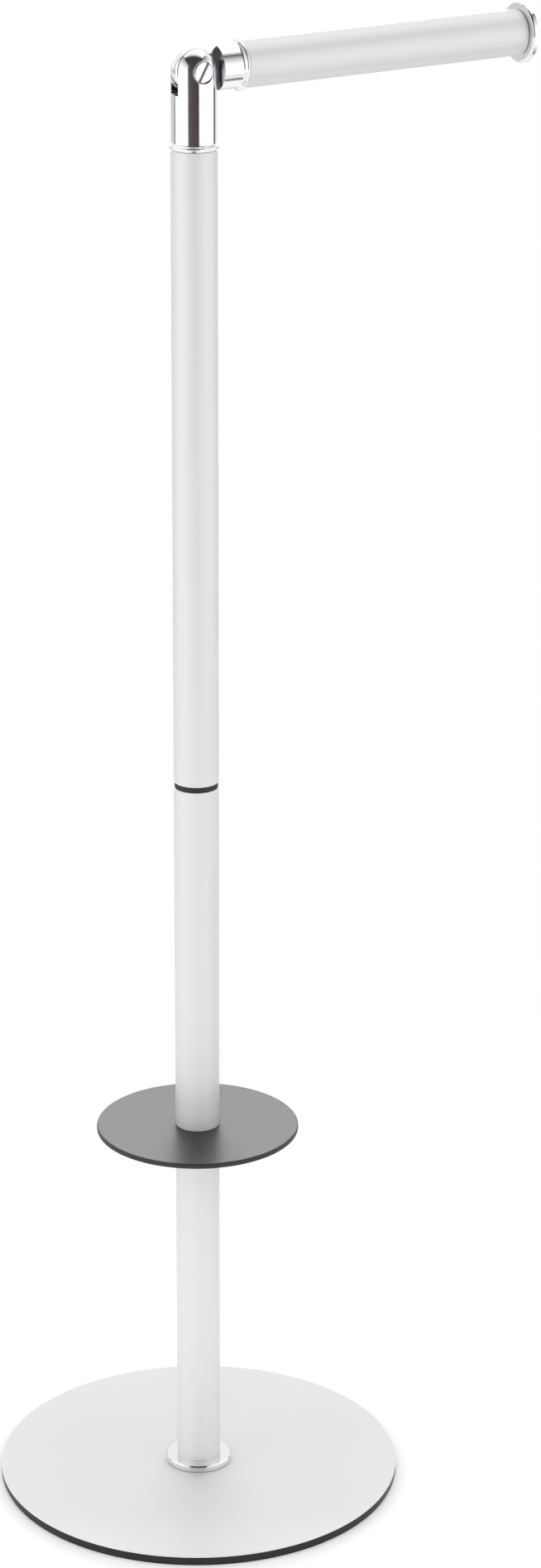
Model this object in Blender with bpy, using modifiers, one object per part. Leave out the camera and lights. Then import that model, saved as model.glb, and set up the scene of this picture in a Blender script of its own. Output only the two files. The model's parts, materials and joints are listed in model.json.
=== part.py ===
"""Freestanding toilet paper holder: a round weighted base, a pole of three screwed tubes, a disc
for spare rolls, and a fork and tongue knuckle that carries a short arm with a flanged end.

Metres, +Z up. The origin is on the pole's axis, on the surface that the base stands on. The arm
points along +X and the slotted pivot screw faces -Y. At rest the arm lies on its stop.
"""

import math

import bmesh
import bpy

# Clearances
SEAT_GAP = 0.0002  # between faces that rest on each other
PRESS_GAP = 0.00015  # round a piece pressed into a tube, on the radius
THREAD_GAP = 0.00015  # round a screwed piece, on the radius
BORE_END_GAP = 0.0005  # past a stud's end in a blind bore
PIVOT_GAP = 0.0001  # round the pivot screw, and beside each friction washer
OVERRUN = 0.004  # how far a cut runs past the surface it opens

# Base
BASE_RADIUS = 0.10155
PAD_INSET = 0.0006
PAD_THICKNESS = 0.0010
WEIGHT_THICKNESS = 0.0031
WEIGHT_EDGE = 0.0002
COVER_THICKNESS = 0.00075
COVER_EDGE = 0.0002
FOOT_FLANGE_WIDTH = 0.00585  # out from the tube
FOOT_FLANGE_THICKNESS = 0.0033
FOOT_FLANGE_EDGE = 0.0009

# Tubes
TUBE_RADIUS = 0.0110
TUBE_WALL = 0.0010
LOWER_TUBE_LENGTH = 0.18175
MIDDLE_TUBE_LENGTH = 0.17855
UPPER_TUBE_LENGTH = 0.30895
INSERT_LENGTH = 0.0150

# Screwed studs and the bolt in the base
STUD_RADIUS = 0.0040
STUD_REACH = 0.0120  # how far a stud goes into each insert
STUD_CHAMFER = 0.0006
BOLT_HEAD_RADIUS = 0.0090
BOLT_HEAD_THICKNESS = 0.0012
BOLT_HEAD_GAP = 0.0002

# Disc and ring between the tubes
DISC_RADIUS = 0.05045
DISC_THICKNESS = 0.0025
DISC_EDGE = 0.0006
DISC_SEAT_DEPTH = 0.0002  # of the shallow recess that locates the tube above
DISC_SEAT_GAP = 0.0002  # round the tube in its recess
JOINT_RING_INSET = 0.00035  # in from the tube
JOINT_RING_THICKNESS = 0.0023

# Knuckle
KNUCKLE_INSET = 0.00035  # in from the tube
COLLAR_STAND_OUT = 0.0011  # out from the tube
FORK_COLLAR_HEIGHT = 0.0033
FORK_REACH = 0.0364  # from the fork's lower face up to the hinge axis
SLOT_WIDTH = 0.0066
SLOT_FLOOR_GAP = 0.0002  # under the tongue's round end
TONGUE_SIDE_GAP = 0.0003  # between the tongue and each cheek
SHOULDER_GAP = 0.00015  # between the dome and the shoulder that passes over it
SHOULDER_LENGTH = 0.0094
TONGUE_COLLAR_HEIGHT = 0.0037
ARM_STUD_REACH = 0.0095  # into the tongue

# Pivot
PIVOT_RADIUS = 0.0025
PIVOT_HEAD_RADIUS = 0.0049
PIVOT_HEAD_THICKNESS = 0.0022
PIVOT_HEAD_EDGE = 0.0003
PIVOT_HEAD_RECESS = 0.00085  # of the head's face, in from the knuckle's side
PIVOT_HEAD_GAP = 0.0004  # round the head in its counterbore
SCREW_SLOT_WIDTH = 0.0012
SCREW_SLOT_DEPTH = 0.0010
SCREW_SLOT_LEAN = math.radians(27.6)  # from upright, leaning towards +X
NUT_BARREL_RADIUS = 0.0037
NUT_BARREL_SHORTFALL = 0.0015  # of the nut's barrel from the fork's slot
WASHER_RADIUS = 0.0065
WASHER_THICKNESS = 0.0009

# Arm
ARM_TILT = math.radians(1.35)  # the arm rises this much towards its end
ARM_TUBE_LENGTH = 0.1513
END_FLANGE_WIDTH = 0.0037  # out from the tube
END_FLANGE_THICKNESS = 0.0033
END_FLANGE_EDGE = 0.0004
END_SPIGOT_RADIUS = 0.0060
END_SPIGOT_LENGTH = 0.0120

# Facets
BASE_STEPS = 96
DISC_STEPS = 64
TUBE_STEPS = 48
INNER_STEPS = 16
PIVOT_STEPS = 20
DOME_STEPS = 8
BEAD_STEPS = 6
EDGE_STEPS = 3
MERGE_DISTANCE = 0.00001
SMOOTH_ANGLE = math.radians(35)

# Finishes: colour, roughness, metallic
WHITE_ENAMEL = ((0.80, 0.80, 0.79), 0.38, 0.0)
BLACK_ENAMEL = ((0.035, 0.033, 0.033), 0.42, 0.0)
CHROME = ((0.86, 0.86, 0.88), 0.06, 1.0)
BLACK_RUBBER = ((0.020, 0.020, 0.020), 0.80, 0.0)
BLACK_PLASTIC = ((0.028, 0.024, 0.026), 0.45, 0.0)
ZINC_STEEL = ((0.55, 0.55, 0.53), 0.35, 1.0)
WHITE_NYLON = ((0.78, 0.77, 0.72), 0.50, 0.0)

# Heights above the floor, worked out from the sizes above
WEIGHT_BOTTOM = PAD_THICKNESS + SEAT_GAP
COVER_BOTTOM = WEIGHT_BOTTOM + WEIGHT_THICKNESS + SEAT_GAP
FOOT_FLANGE_BOTTOM = COVER_BOTTOM + COVER_THICKNESS + SEAT_GAP
LOWER_TUBE_BOTTOM = FOOT_FLANGE_BOTTOM + FOOT_FLANGE_THICKNESS + SEAT_GAP
LOWER_TUBE_TOP = LOWER_TUBE_BOTTOM + LOWER_TUBE_LENGTH
DISC_BOTTOM = LOWER_TUBE_TOP + SEAT_GAP
MIDDLE_TUBE_BOTTOM = DISC_BOTTOM + DISC_THICKNESS - DISC_SEAT_DEPTH + SEAT_GAP
MIDDLE_TUBE_TOP = MIDDLE_TUBE_BOTTOM + MIDDLE_TUBE_LENGTH
JOINT_RING_BOTTOM = MIDDLE_TUBE_TOP + SEAT_GAP
UPPER_TUBE_BOTTOM = JOINT_RING_BOTTOM + JOINT_RING_THICKNESS + SEAT_GAP
UPPER_TUBE_TOP = UPPER_TUBE_BOTTOM + UPPER_TUBE_LENGTH
FORK_BOTTOM = UPPER_TUBE_TOP + SEAT_GAP
HINGE_HEIGHT = FORK_BOTTOM + FORK_REACH

# Radii that follow the tube
TUBE_BORE_RADIUS = TUBE_RADIUS - TUBE_WALL
INSERT_RADIUS = TUBE_BORE_RADIUS - PRESS_GAP
FOOT_FLANGE_RADIUS = TUBE_RADIUS + FOOT_FLANGE_WIDTH
JOINT_RING_RADIUS = TUBE_RADIUS - JOINT_RING_INSET
KNUCKLE_RADIUS = TUBE_RADIUS - KNUCKLE_INSET
END_FLANGE_RADIUS = TUBE_RADIUS + END_FLANGE_WIDTH
STUD_HOLE_RADIUS = STUD_RADIUS + THREAD_GAP

# Distances along the arm from the hinge axis
SHOULDER_START = KNUCKLE_RADIUS + SHOULDER_GAP
TONGUE_COLLAR_START = SHOULDER_START + SHOULDER_LENGTH
TONGUE_END = TONGUE_COLLAR_START + TONGUE_COLLAR_HEIGHT
ARM_TUBE_START = TONGUE_END + SEAT_GAP
ARM_TUBE_END = ARM_TUBE_START + ARM_TUBE_LENGTH
END_CAP_START = ARM_TUBE_END + SEAT_GAP

# Distances along the pivot from the middle of the slot
PIVOT_FACE_DISTANCE = KNUCKLE_RADIUS - PIVOT_HEAD_RECESS
HEAD_SEAT_DISTANCE = PIVOT_FACE_DISTANCE - PIVOT_HEAD_THICKNESS
COUNTERBORE_FLOOR = HEAD_SEAT_DISTANCE - SEAT_GAP
HALF_SLOT = SLOT_WIDTH / 2
HALF_TONGUE = HALF_SLOT - TONGUE_SIDE_GAP
WASHER_OUTER_FACE = HALF_SLOT - PIVOT_GAP
WASHER_INNER_FACE = WASHER_OUTER_FACE - WASHER_THICKNESS
SPOT_FACE_DISTANCE = WASHER_INNER_FACE - PIVOT_GAP
NUT_BARREL_END = HALF_SLOT + NUT_BARREL_SHORTFALL

# Round fits of the pivot
PIVOT_HOLE_RADIUS = PIVOT_RADIUS + PIVOT_GAP
COUNTERBORE_RADIUS = PIVOT_HEAD_RADIUS + PIVOT_HEAD_GAP
NUT_BORE_RADIUS = PIVOT_RADIUS + THREAD_GAP
NUT_HOLE_RADIUS = NUT_BARREL_RADIUS + THREAD_GAP
SPOT_FACE_RADIUS = WASHER_RADIUS + THREAD_GAP


def clear_scene():
    """Remove every object of the startup scene."""
    for obj in list(bpy.data.objects):
        bpy.data.objects.remove(obj, do_unlink=True)


def new_collection(name):
    """A collection of this name, linked to the scene."""
    collection = bpy.data.collections.new(name)
    bpy.context.scene.collection.children.link(collection)
    return collection


def new_material(name, finish):
    """A material with one Principled shader, set to the finish's colour, roughness and metallic."""
    colour, roughness, metallic = finish
    material = bpy.data.materials.new(name)
    material.use_nodes = True
    shader = material.node_tree.nodes["Principled BSDF"]
    shader.inputs["Base Color"].default_value = (*colour, 1.0)
    shader.inputs["Roughness"].default_value = roughness
    shader.inputs["Metallic"].default_value = metallic
    material.diffuse_color = (*colour, 1.0)
    return material


def arc(centre, radii, start, end, steps):
    """Points (radius, height) on an ellipse round centre, from one angle to another."""
    points = []
    for step in range(steps + 1):
        angle = start + (end - start) * step / steps
        points.append((centre[0] + radii[0] * math.cos(angle), centre[1] + radii[1] * math.sin(angle)))
    return points


def disc_outline(radius, bottom, top, hole=0.0, edge=0.0):
    """Outline of a disc or a tube, with its outer edges chamfered."""
    if edge == 0.0:
        outer = [(radius, top), (radius, bottom)]
    else:
        outer = [(radius - edge, top), (radius, top - edge), (radius, bottom + edge), (radius - edge, bottom)]
    return [(hole, top), *outer, (hole, bottom)]


def turned(name, outline, finish, collection, steps, height=0.0, parent=None):
    """A body of revolution about its own Z axis.

    The outline is a list of (radius, height) points that runs down the outer side. It ends on the
    axis, or is closed into a ring where its two ends lie off the axis.
    """
    points = [(radius, 0.0, level) for radius, level in outline]
    edges = [(index, index + 1) for index in range(len(points) - 1)]
    if outline[0][0] > 0.0:
        edges.append((len(points) - 1, 0))
    mesh = bpy.data.meshes.new(name)
    mesh.from_pydata(points, edges, [])
    obj = bpy.data.objects.new(name, mesh)
    collection.objects.link(obj)
    obj.location = (0.0, 0.0, height)
    obj.parent = parent
    screw = obj.modifiers.new("Turn", "SCREW")
    screw.steps = steps
    screw.render_steps = steps
    screw.use_merge_vertices = True
    screw.merge_threshold = MERGE_DISTANCE
    if finish:
        mesh.materials.append(new_material(name, finish))
    return obj


def make_cutter(obj):
    """Show the object as a wire that no render holds."""
    obj.hide_render = True
    obj.display_type = "WIRE"
    return obj


def box_cutter(name, low, high, collection, parent=None):
    """A box between two corners, to cut with."""
    mesh = bpy.data.meshes.new(name)
    cage = bmesh.new()
    bmesh.ops.create_cube(cage, size=1.0)
    for vertex in cage.verts:
        vertex.co = [
            low[axis] if vertex.co[axis] < 0.0 else high[axis] for axis in range(len(low))
        ]
    cage.to_mesh(mesh)
    cage.free()
    obj = bpy.data.objects.new(name, mesh)
    collection.objects.link(obj)
    obj.parent = parent
    return make_cutter(obj)


def bore_cutter(name, outline, collection, height=0.0, parent=None):
    """A stepped round cutter along the Y axis, whose outline runs from -Y to +Y.

    It is turned half a facet, so that none of its edges is level with the hinge axis.
    """
    obj = turned(name, outline, None, collection, PIVOT_STEPS, height, parent)
    obj.rotation_euler = (math.pi / 2, math.pi / PIVOT_STEPS, 0.0)
    return make_cutter(obj)


def cut(obj, cutter):
    """Take the cutter's shape out of the object."""
    boolean = obj.modifiers.new(cutter.name, "BOOLEAN")
    boolean.operation = "DIFFERENCE"
    boolean.solver = "EXACT"
    boolean.object = cutter


def build_base(parts):
    """The pad, the weight, the enamelled cover and the chrome foot flange, and the bolt in them."""
    pad = disc_outline(BASE_RADIUS - PAD_INSET, 0.0, PAD_THICKNESS)
    turned("base_pad", pad, BLACK_RUBBER, parts, BASE_STEPS)

    recess_top = BOLT_HEAD_THICKNESS + BOLT_HEAD_GAP
    recess_radius = BOLT_HEAD_RADIUS + BOLT_HEAD_GAP
    weight = disc_outline(BASE_RADIUS, 0.0, WEIGHT_THICKNESS, STUD_HOLE_RADIUS, WEIGHT_EDGE)
    weight[-1:] = [(recess_radius, 0.0), (recess_radius, recess_top), (STUD_HOLE_RADIUS, recess_top)]
    turned("base_weight", weight, BLACK_ENAMEL, parts, BASE_STEPS, WEIGHT_BOTTOM)

    cover = disc_outline(BASE_RADIUS, 0.0, COVER_THICKNESS, STUD_HOLE_RADIUS, COVER_EDGE)
    turned("base_cover", cover, WHITE_ENAMEL, parts, BASE_STEPS, COVER_BOTTOM)

    flange_shoulder = (FOOT_FLANGE_RADIUS - FOOT_FLANGE_EDGE, FOOT_FLANGE_THICKNESS - FOOT_FLANGE_EDGE)
    flange_edge = (FOOT_FLANGE_EDGE, FOOT_FLANGE_EDGE)
    flange = [
        (STUD_HOLE_RADIUS, FOOT_FLANGE_THICKNESS),
        *arc(flange_shoulder, flange_edge, math.pi / 2, 0.0, EDGE_STEPS),
        (FOOT_FLANGE_RADIUS, 0.0),
        (STUD_HOLE_RADIUS, 0.0),
    ]
    turned("foot_flange", flange, CHROME, parts, TUBE_STEPS, FOOT_FLANGE_BOTTOM)

    shank_length = LOWER_TUBE_BOTTOM + STUD_REACH - WEIGHT_BOTTOM
    bolt = [
        (0.0, shank_length),
        (STUD_RADIUS - STUD_CHAMFER, shank_length),
        (STUD_RADIUS, shank_length - STUD_CHAMFER),
        (STUD_RADIUS, BOLT_HEAD_THICKNESS),
        (BOLT_HEAD_RADIUS, BOLT_HEAD_THICKNESS),
        (BOLT_HEAD_RADIUS, 0.0),
        (0.0, 0.0),
    ]
    turned("base_bolt", bolt, ZINC_STEEL, parts, INNER_STEPS, WEIGHT_BOTTOM)


def build_tube(name, bottom, length, parts, parent=None):
    """A straight tube, open at both ends."""
    outline = disc_outline(TUBE_RADIUS, 0.0, length, TUBE_BORE_RADIUS)
    turned(name, outline, WHITE_ENAMEL, parts, TUBE_STEPS, bottom, parent)


def build_insert(name, bottom, parts, parent=None):
    """A threaded insert, pressed into a tube's end."""
    outline = disc_outline(INSERT_RADIUS, 0.0, INSERT_LENGTH, STUD_HOLE_RADIUS)
    turned(name, outline, ZINC_STEEL, parts, INNER_STEPS, bottom, parent)


def build_stud(name, bottom, length, parts, parent=None):
    """A plain stud with chamfered ends."""
    outline = disc_outline(STUD_RADIUS, 0.0, length, 0.0, STUD_CHAMFER)
    turned(name, outline, ZINC_STEEL, parts, INNER_STEPS, bottom, parent)


def build_pole(parts):
    """The three tubes with their inserts and studs, the spare roll disc and the ring."""
    build_insert("foot_insert", LOWER_TUBE_BOTTOM, parts)
    build_tube("lower_tube", LOWER_TUBE_BOTTOM, LOWER_TUBE_LENGTH, parts)
    build_insert("lower_top_insert", LOWER_TUBE_TOP - INSERT_LENGTH, parts)

    seat_radius = TUBE_RADIUS + DISC_SEAT_GAP
    seat_floor = DISC_THICKNESS - DISC_SEAT_DEPTH
    disc = disc_outline(DISC_RADIUS, 0.0, DISC_THICKNESS, STUD_HOLE_RADIUS, DISC_EDGE)
    disc[:1] = [(STUD_HOLE_RADIUS, seat_floor), (seat_radius, seat_floor), (seat_radius, DISC_THICKNESS)]
    turned("spare_roll_disc", disc, BLACK_ENAMEL, parts, DISC_STEPS, DISC_BOTTOM)
    disc_stud_bottom = LOWER_TUBE_TOP - STUD_REACH
    disc_stud_top = MIDDLE_TUBE_BOTTOM + STUD_REACH
    build_stud("disc_stud", disc_stud_bottom, disc_stud_top - disc_stud_bottom, parts)

    build_insert("middle_bottom_insert", MIDDLE_TUBE_BOTTOM, parts)
    build_tube("middle_tube", MIDDLE_TUBE_BOTTOM, MIDDLE_TUBE_LENGTH, parts)
    build_insert("middle_top_insert", MIDDLE_TUBE_TOP - INSERT_LENGTH, parts)

    ring = disc_outline(JOINT_RING_RADIUS, 0.0, JOINT_RING_THICKNESS, STUD_HOLE_RADIUS)
    turned("joint_ring", ring, BLACK_PLASTIC, parts, TUBE_STEPS, JOINT_RING_BOTTOM)
    joint_stud_bottom = MIDDLE_TUBE_TOP - STUD_REACH
    joint_stud_top = UPPER_TUBE_BOTTOM + STUD_REACH
    build_stud("joint_stud", joint_stud_bottom, joint_stud_top - joint_stud_bottom, parts)

    build_insert("upper_bottom_insert", UPPER_TUBE_BOTTOM, parts)
    build_tube("upper_tube", UPPER_TUBE_BOTTOM, UPPER_TUBE_LENGTH, parts)
    build_insert("upper_top_insert", UPPER_TUBE_TOP - INSERT_LENGTH, parts)


def collar_outline(bottom, top):
    """A round bead that stands out from the tube's radius, from its top to its bottom."""
    centre = (TUBE_RADIUS, (bottom + top) / 2)
    radii = (COLLAR_STAND_OUT, (top - bottom) / 2)
    return arc(centre, radii, math.pi / 2, -math.pi / 2, BEAD_STEPS)


def dome_outline():
    """The knuckle's domed end about the hinge axis, from the pole of the dome to its side."""
    radii = (KNUCKLE_RADIUS, KNUCKLE_RADIUS)
    side = arc((0.0, 0.0), radii, math.pi / 2, 0.0, DOME_STEPS)
    return [(0.0, KNUCKLE_RADIUS), *side[1:]]


def build_fork(parts, cutters):
    """The fork: a collar, a cylinder and a domed top, slotted for the tongue, on its stud."""
    bore_depth = STUD_REACH + BORE_END_GAP
    fork = [
        *[(radius, FORK_REACH + level) for radius, level in dome_outline()],
        (KNUCKLE_RADIUS, FORK_COLLAR_HEIGHT),
        *collar_outline(0.0, FORK_COLLAR_HEIGHT),
        (STUD_HOLE_RADIUS, 0.0),
        (STUD_HOLE_RADIUS, bore_depth),
        (0.0, bore_depth),
    ]
    body = turned("knuckle_fork", fork, CHROME, parts, TUBE_STEPS, FORK_BOTTOM)

    reach = KNUCKLE_RADIUS + OVERRUN
    slot_floor = HINGE_HEIGHT - KNUCKLE_RADIUS - SLOT_FLOOR_GAP
    slot_low = (-reach, -HALF_SLOT, slot_floor)
    slot_high = (reach, HALF_SLOT, HINGE_HEIGHT + reach)
    cut(body, box_cutter("fork_slot", slot_low, slot_high, cutters))

    bore = [
        (0.0, reach),
        (COUNTERBORE_RADIUS, reach),
        (COUNTERBORE_RADIUS, COUNTERBORE_FLOOR),
        (PIVOT_HOLE_RADIUS, COUNTERBORE_FLOOR),
        (PIVOT_HOLE_RADIUS, 0.0),
        (NUT_HOLE_RADIUS, 0.0),
        (NUT_HOLE_RADIUS, -COUNTERBORE_FLOOR),
        (COUNTERBORE_RADIUS, -COUNTERBORE_FLOOR),
        (COUNTERBORE_RADIUS, -reach),
        (0.0, -reach),
    ]
    cut(body, bore_cutter("fork_bore", bore, cutters, HINGE_HEIGHT))

    stud_bottom = UPPER_TUBE_TOP - STUD_REACH
    build_stud("knuckle_stud", stud_bottom, FORK_BOTTOM + STUD_REACH - stud_bottom, parts)


def along_y(obj):
    """Turn a turned piece so that its top faces -Y."""
    obj.rotation_euler = (math.pi / 2, 0.0, 0.0)
    return obj


def build_pivot(parts, cutters):
    """The slotted screw from the front cheek, and the nut with its barrel in the rear cheek."""
    screw = [
        (0.0, PIVOT_FACE_DISTANCE),
        (PIVOT_HEAD_RADIUS - PIVOT_HEAD_EDGE, PIVOT_FACE_DISTANCE),
        (PIVOT_HEAD_RADIUS, PIVOT_FACE_DISTANCE - PIVOT_HEAD_EDGE),
        (PIVOT_HEAD_RADIUS, HEAD_SEAT_DISTANCE),
        (PIVOT_RADIUS, HEAD_SEAT_DISTANCE),
        (PIVOT_RADIUS, -HEAD_SEAT_DISTANCE),
        (0.0, -HEAD_SEAT_DISTANCE),
    ]
    pivot = along_y(turned("pivot_screw", screw, CHROME, parts, PIVOT_STEPS, HINGE_HEIGHT))
    reach = PIVOT_HEAD_RADIUS + OVERRUN
    half_width = SCREW_SLOT_WIDTH / 2
    slot_low = (-half_width, -SCREW_SLOT_DEPTH - OVERRUN, -reach)
    slot_high = (half_width, SCREW_SLOT_DEPTH, reach)
    slot = box_cutter("screw_slot", slot_low, slot_high, cutters)
    slot.location = (0.0, -PIVOT_FACE_DISTANCE, HINGE_HEIGHT)
    slot.rotation_euler = (0.0, SCREW_SLOT_LEAN, 0.0)
    cut(pivot, slot)

    nut = [
        (NUT_BORE_RADIUS, -NUT_BARREL_END),
        (NUT_BARREL_RADIUS, -NUT_BARREL_END),
        (NUT_BARREL_RADIUS, -HEAD_SEAT_DISTANCE),
        (PIVOT_HEAD_RADIUS, -HEAD_SEAT_DISTANCE),
        (PIVOT_HEAD_RADIUS, -PIVOT_FACE_DISTANCE + PIVOT_HEAD_EDGE),
        (PIVOT_HEAD_RADIUS - PIVOT_HEAD_EDGE, -PIVOT_FACE_DISTANCE),
        (NUT_BORE_RADIUS, -PIVOT_FACE_DISTANCE),
    ]
    along_y(turned("pivot_nut", nut, CHROME, parts, PIVOT_STEPS, HINGE_HEIGHT))


def build_arm(parts, cutters):
    """The tongue, its washers, the arm tube and the flanged end, all on the hinge axis.

    Their own Z axis points along the arm, so a height below is a distance from the hinge axis.
    """
    hinge = bpy.data.objects.new("arm_hinge", None)
    parts.objects.link(hinge)
    hinge.location = (0.0, 0.0, HINGE_HEIGHT)
    hinge.rotation_euler = (0.0, math.pi / 2 - ARM_TILT, 0.0)

    bore_floor = TONGUE_END - ARM_STUD_REACH - BORE_END_GAP
    tongue = [
        (0.0, bore_floor),
        (STUD_HOLE_RADIUS, bore_floor),
        (STUD_HOLE_RADIUS, TONGUE_END),
        *collar_outline(TONGUE_COLLAR_START, TONGUE_END),
        (KNUCKLE_RADIUS, TONGUE_COLLAR_START),
        *[(radius, -level) for radius, level in reversed(dome_outline())],
    ]
    body = turned("knuckle_tongue", tongue, CHROME, parts, TUBE_STEPS, parent=hinge)

    reach = KNUCKLE_RADIUS + OVERRUN
    cheek_faces = (("front", -reach, -HALF_TONGUE), ("rear", HALF_TONGUE, reach))
    for side, near, far in cheek_faces:
        low = (-reach, near, -reach)
        high = (reach, far, SHOULDER_START)
        cut(body, box_cutter(f"tongue_{side}_cheek", low, high, cutters, hinge))
    bore = [
        (0.0, reach),
        (SPOT_FACE_RADIUS, reach),
        (SPOT_FACE_RADIUS, SPOT_FACE_DISTANCE),
        (PIVOT_HOLE_RADIUS, SPOT_FACE_DISTANCE),
        (PIVOT_HOLE_RADIUS, -SPOT_FACE_DISTANCE),
        (SPOT_FACE_RADIUS, -SPOT_FACE_DISTANCE),
        (SPOT_FACE_RADIUS, -reach),
        (0.0, -reach),
    ]
    cut(body, bore_cutter("tongue_bore", bore, cutters, parent=hinge))

    washer_faces = (
        ("front", WASHER_INNER_FACE, WASHER_OUTER_FACE),
        ("rear", -WASHER_OUTER_FACE, -WASHER_INNER_FACE),
    )
    for side, near, far in washer_faces:
        washer = disc_outline(WASHER_RADIUS, near, far, PIVOT_HOLE_RADIUS)
        name = f"friction_washer_{side}"
        along_y(turned(name, washer, WHITE_NYLON, parts, PIVOT_STEPS, parent=hinge))

    stud_start = TONGUE_END - ARM_STUD_REACH
    build_stud("arm_stud", stud_start, ARM_TUBE_START + STUD_REACH - stud_start, parts, hinge)
    build_insert("arm_insert", ARM_TUBE_START, parts, hinge)
    build_tube("arm_tube", ARM_TUBE_START, ARM_TUBE_LENGTH, parts, hinge)

    bush_hole = END_SPIGOT_RADIUS + PRESS_GAP
    bush = disc_outline(INSERT_RADIUS, 0.0, INSERT_LENGTH, bush_hole)
    bush_start = ARM_TUBE_END - INSERT_LENGTH
    turned("end_bush", bush, WHITE_NYLON, parts, INNER_STEPS, bush_start, hinge)

    flange = disc_outline(END_FLANGE_RADIUS, 0.0, END_FLANGE_THICKNESS, 0.0, END_FLANGE_EDGE)
    spigot = [(END_SPIGOT_RADIUS, 0.0), (END_SPIGOT_RADIUS, -END_SPIGOT_LENGTH), (0.0, -END_SPIGOT_LENGTH)]
    turned("end_cap", flange[:-1] + spigot, CHROME, parts, TUBE_STEPS, END_CAP_START, hinge)


def settle(collection):
    """Apply each part's modifiers, and shade its round faces smooth."""
    bpy.context.view_layer.update()
    graph = bpy.context.evaluated_depsgraph_get()
    shapes = {
        obj: bpy.data.meshes.new_from_object(obj.evaluated_get(graph))
        for obj in collection.objects
        if obj.type == "MESH"
    }
    for obj, mesh in shapes.items():
        obj.modifiers.clear()
        obj.data = mesh
        mesh.name = obj.name
        mesh.shade_smooth()
        mesh.set_sharp_from_angle(angle=SMOOTH_ANGLE)


def main():
    """Model the holder at rest."""
    clear_scene()
    parts = new_collection("toilet_paper_holder")
    cutters = new_collection("cutters")
    build_base(parts)
    build_pole(parts)
    build_fork(parts, cutters)
    build_pivot(parts, cutters)
    build_arm(parts, cutters)
    settle(parts)


main()
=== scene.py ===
"""The looks of a freestanding toilet paper holder: enamel, chrome, rubber and plated steel.

Metres, +Z up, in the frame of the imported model. The pole stands on the Z axis, the arm points
along +X and the slotted pivot screw faces -Y. Every piece is a closed surface worked out with
numpy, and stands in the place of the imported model's node of the same name.
"""

import json
import logging
import math
from dataclasses import dataclass, replace
from enum import Enum
from typing import Any, ClassVar, Iterator, Sequence

import bmesh
import bpy
import numpy as np
from mathutils import Matrix, Vector
from numpy.typing import NDArray


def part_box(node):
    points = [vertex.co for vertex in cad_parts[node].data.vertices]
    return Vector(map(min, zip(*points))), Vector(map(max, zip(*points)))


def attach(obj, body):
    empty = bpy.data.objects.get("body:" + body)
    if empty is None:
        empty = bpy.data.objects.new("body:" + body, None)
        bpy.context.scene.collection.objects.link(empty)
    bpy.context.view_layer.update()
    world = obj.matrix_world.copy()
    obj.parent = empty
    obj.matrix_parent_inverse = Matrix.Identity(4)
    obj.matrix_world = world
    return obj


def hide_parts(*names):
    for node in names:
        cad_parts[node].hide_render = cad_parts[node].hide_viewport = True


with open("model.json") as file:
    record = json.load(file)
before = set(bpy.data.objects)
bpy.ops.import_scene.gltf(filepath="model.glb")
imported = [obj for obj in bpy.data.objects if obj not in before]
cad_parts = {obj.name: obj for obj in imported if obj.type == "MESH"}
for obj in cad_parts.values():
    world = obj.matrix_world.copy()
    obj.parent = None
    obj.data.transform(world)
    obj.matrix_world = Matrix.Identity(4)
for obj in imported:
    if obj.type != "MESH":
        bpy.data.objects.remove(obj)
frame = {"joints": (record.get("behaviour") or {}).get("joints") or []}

LOG = logging.getLogger("toilet_paper_holder")
Array = NDArray[np.float64]
Colour = tuple[float, float, float]
Corner = tuple[float, float, float]

WHITE = (1.0, 1.0, 1.0)
HINGE = Vector(frame["joints"][0]["pos_m"])  # the middle of the pivot screw
SCREW_LEAN = math.radians(29.0)  # of the screw's slot, from upright
FACING_FRONT = Matrix.Rotation(math.pi / 2, 4, "X")  # turns +Z to -Y
FACING_REAR = Matrix.Rotation(-math.pi / 2, 4, "X")  # turns +Z to +Y

MERGE_DISTANCE = 2e-7
SUPPORT = 0.00012  # from a rounded corner to the row of points that keeps the flat beside it flat
FILLET_STEPS = 5
BROAD_FILLET = 0.0005  # from this radius on, a fillet takes the broad steps
BROAD_STEPS = 14
FINE_EDGE = 0.0001  # fillet of an edge that is only broken
SHARP_ANGLE = math.radians(48)
BEVEL_SEGMENTS = 3


class Body(Enum):
    """The two bodies that the arm's hinge joins."""

    STAND = "stand"
    ARM = "arm"


class Wire:
    """A shader socket that takes part in Python sums."""

    def __init__(self, recipe: "Recipe", socket: bpy.types.NodeSocket) -> None:
        """Keep the socket and the recipe that it belongs to."""
        self.recipe = recipe
        self.socket = socket

    def _math(self, operation: str, first: Any, second: Any = 0.0) -> "Wire":
        """Add one Math node."""
        return self.recipe.node("ShaderNodeMath", {"operation": operation}, {0: first, 1: second})

    def __add__(self, other: Any) -> "Wire":
        """This socket plus another."""
        return self._math("ADD", self, other)

    def __radd__(self, other: Any) -> "Wire":
        """A number plus this socket."""
        return self._math("ADD", other, self)

    def __sub__(self, other: Any) -> "Wire":
        """This socket less another."""
        return self._math("SUBTRACT", self, other)

    def __rsub__(self, other: Any) -> "Wire":
        """A number less this socket."""
        return self._math("SUBTRACT", other, self)

    def __mul__(self, other: Any) -> "Wire":
        """This socket times another."""
        return self._math("MULTIPLY", self, other)

    def __rmul__(self, other: Any) -> "Wire":
        """A number times this socket."""
        return self._math("MULTIPLY", other, self)

    def __gt__(self, other: Any) -> "Wire":
        """One where this socket is greater, and zero elsewhere."""
        return self._math("GREATER_THAN", self, other)

    def __lt__(self, other: Any) -> "Wire":
        """One where this socket is less, and zero elsewhere."""
        return self._math("LESS_THAN", self, other)


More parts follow.
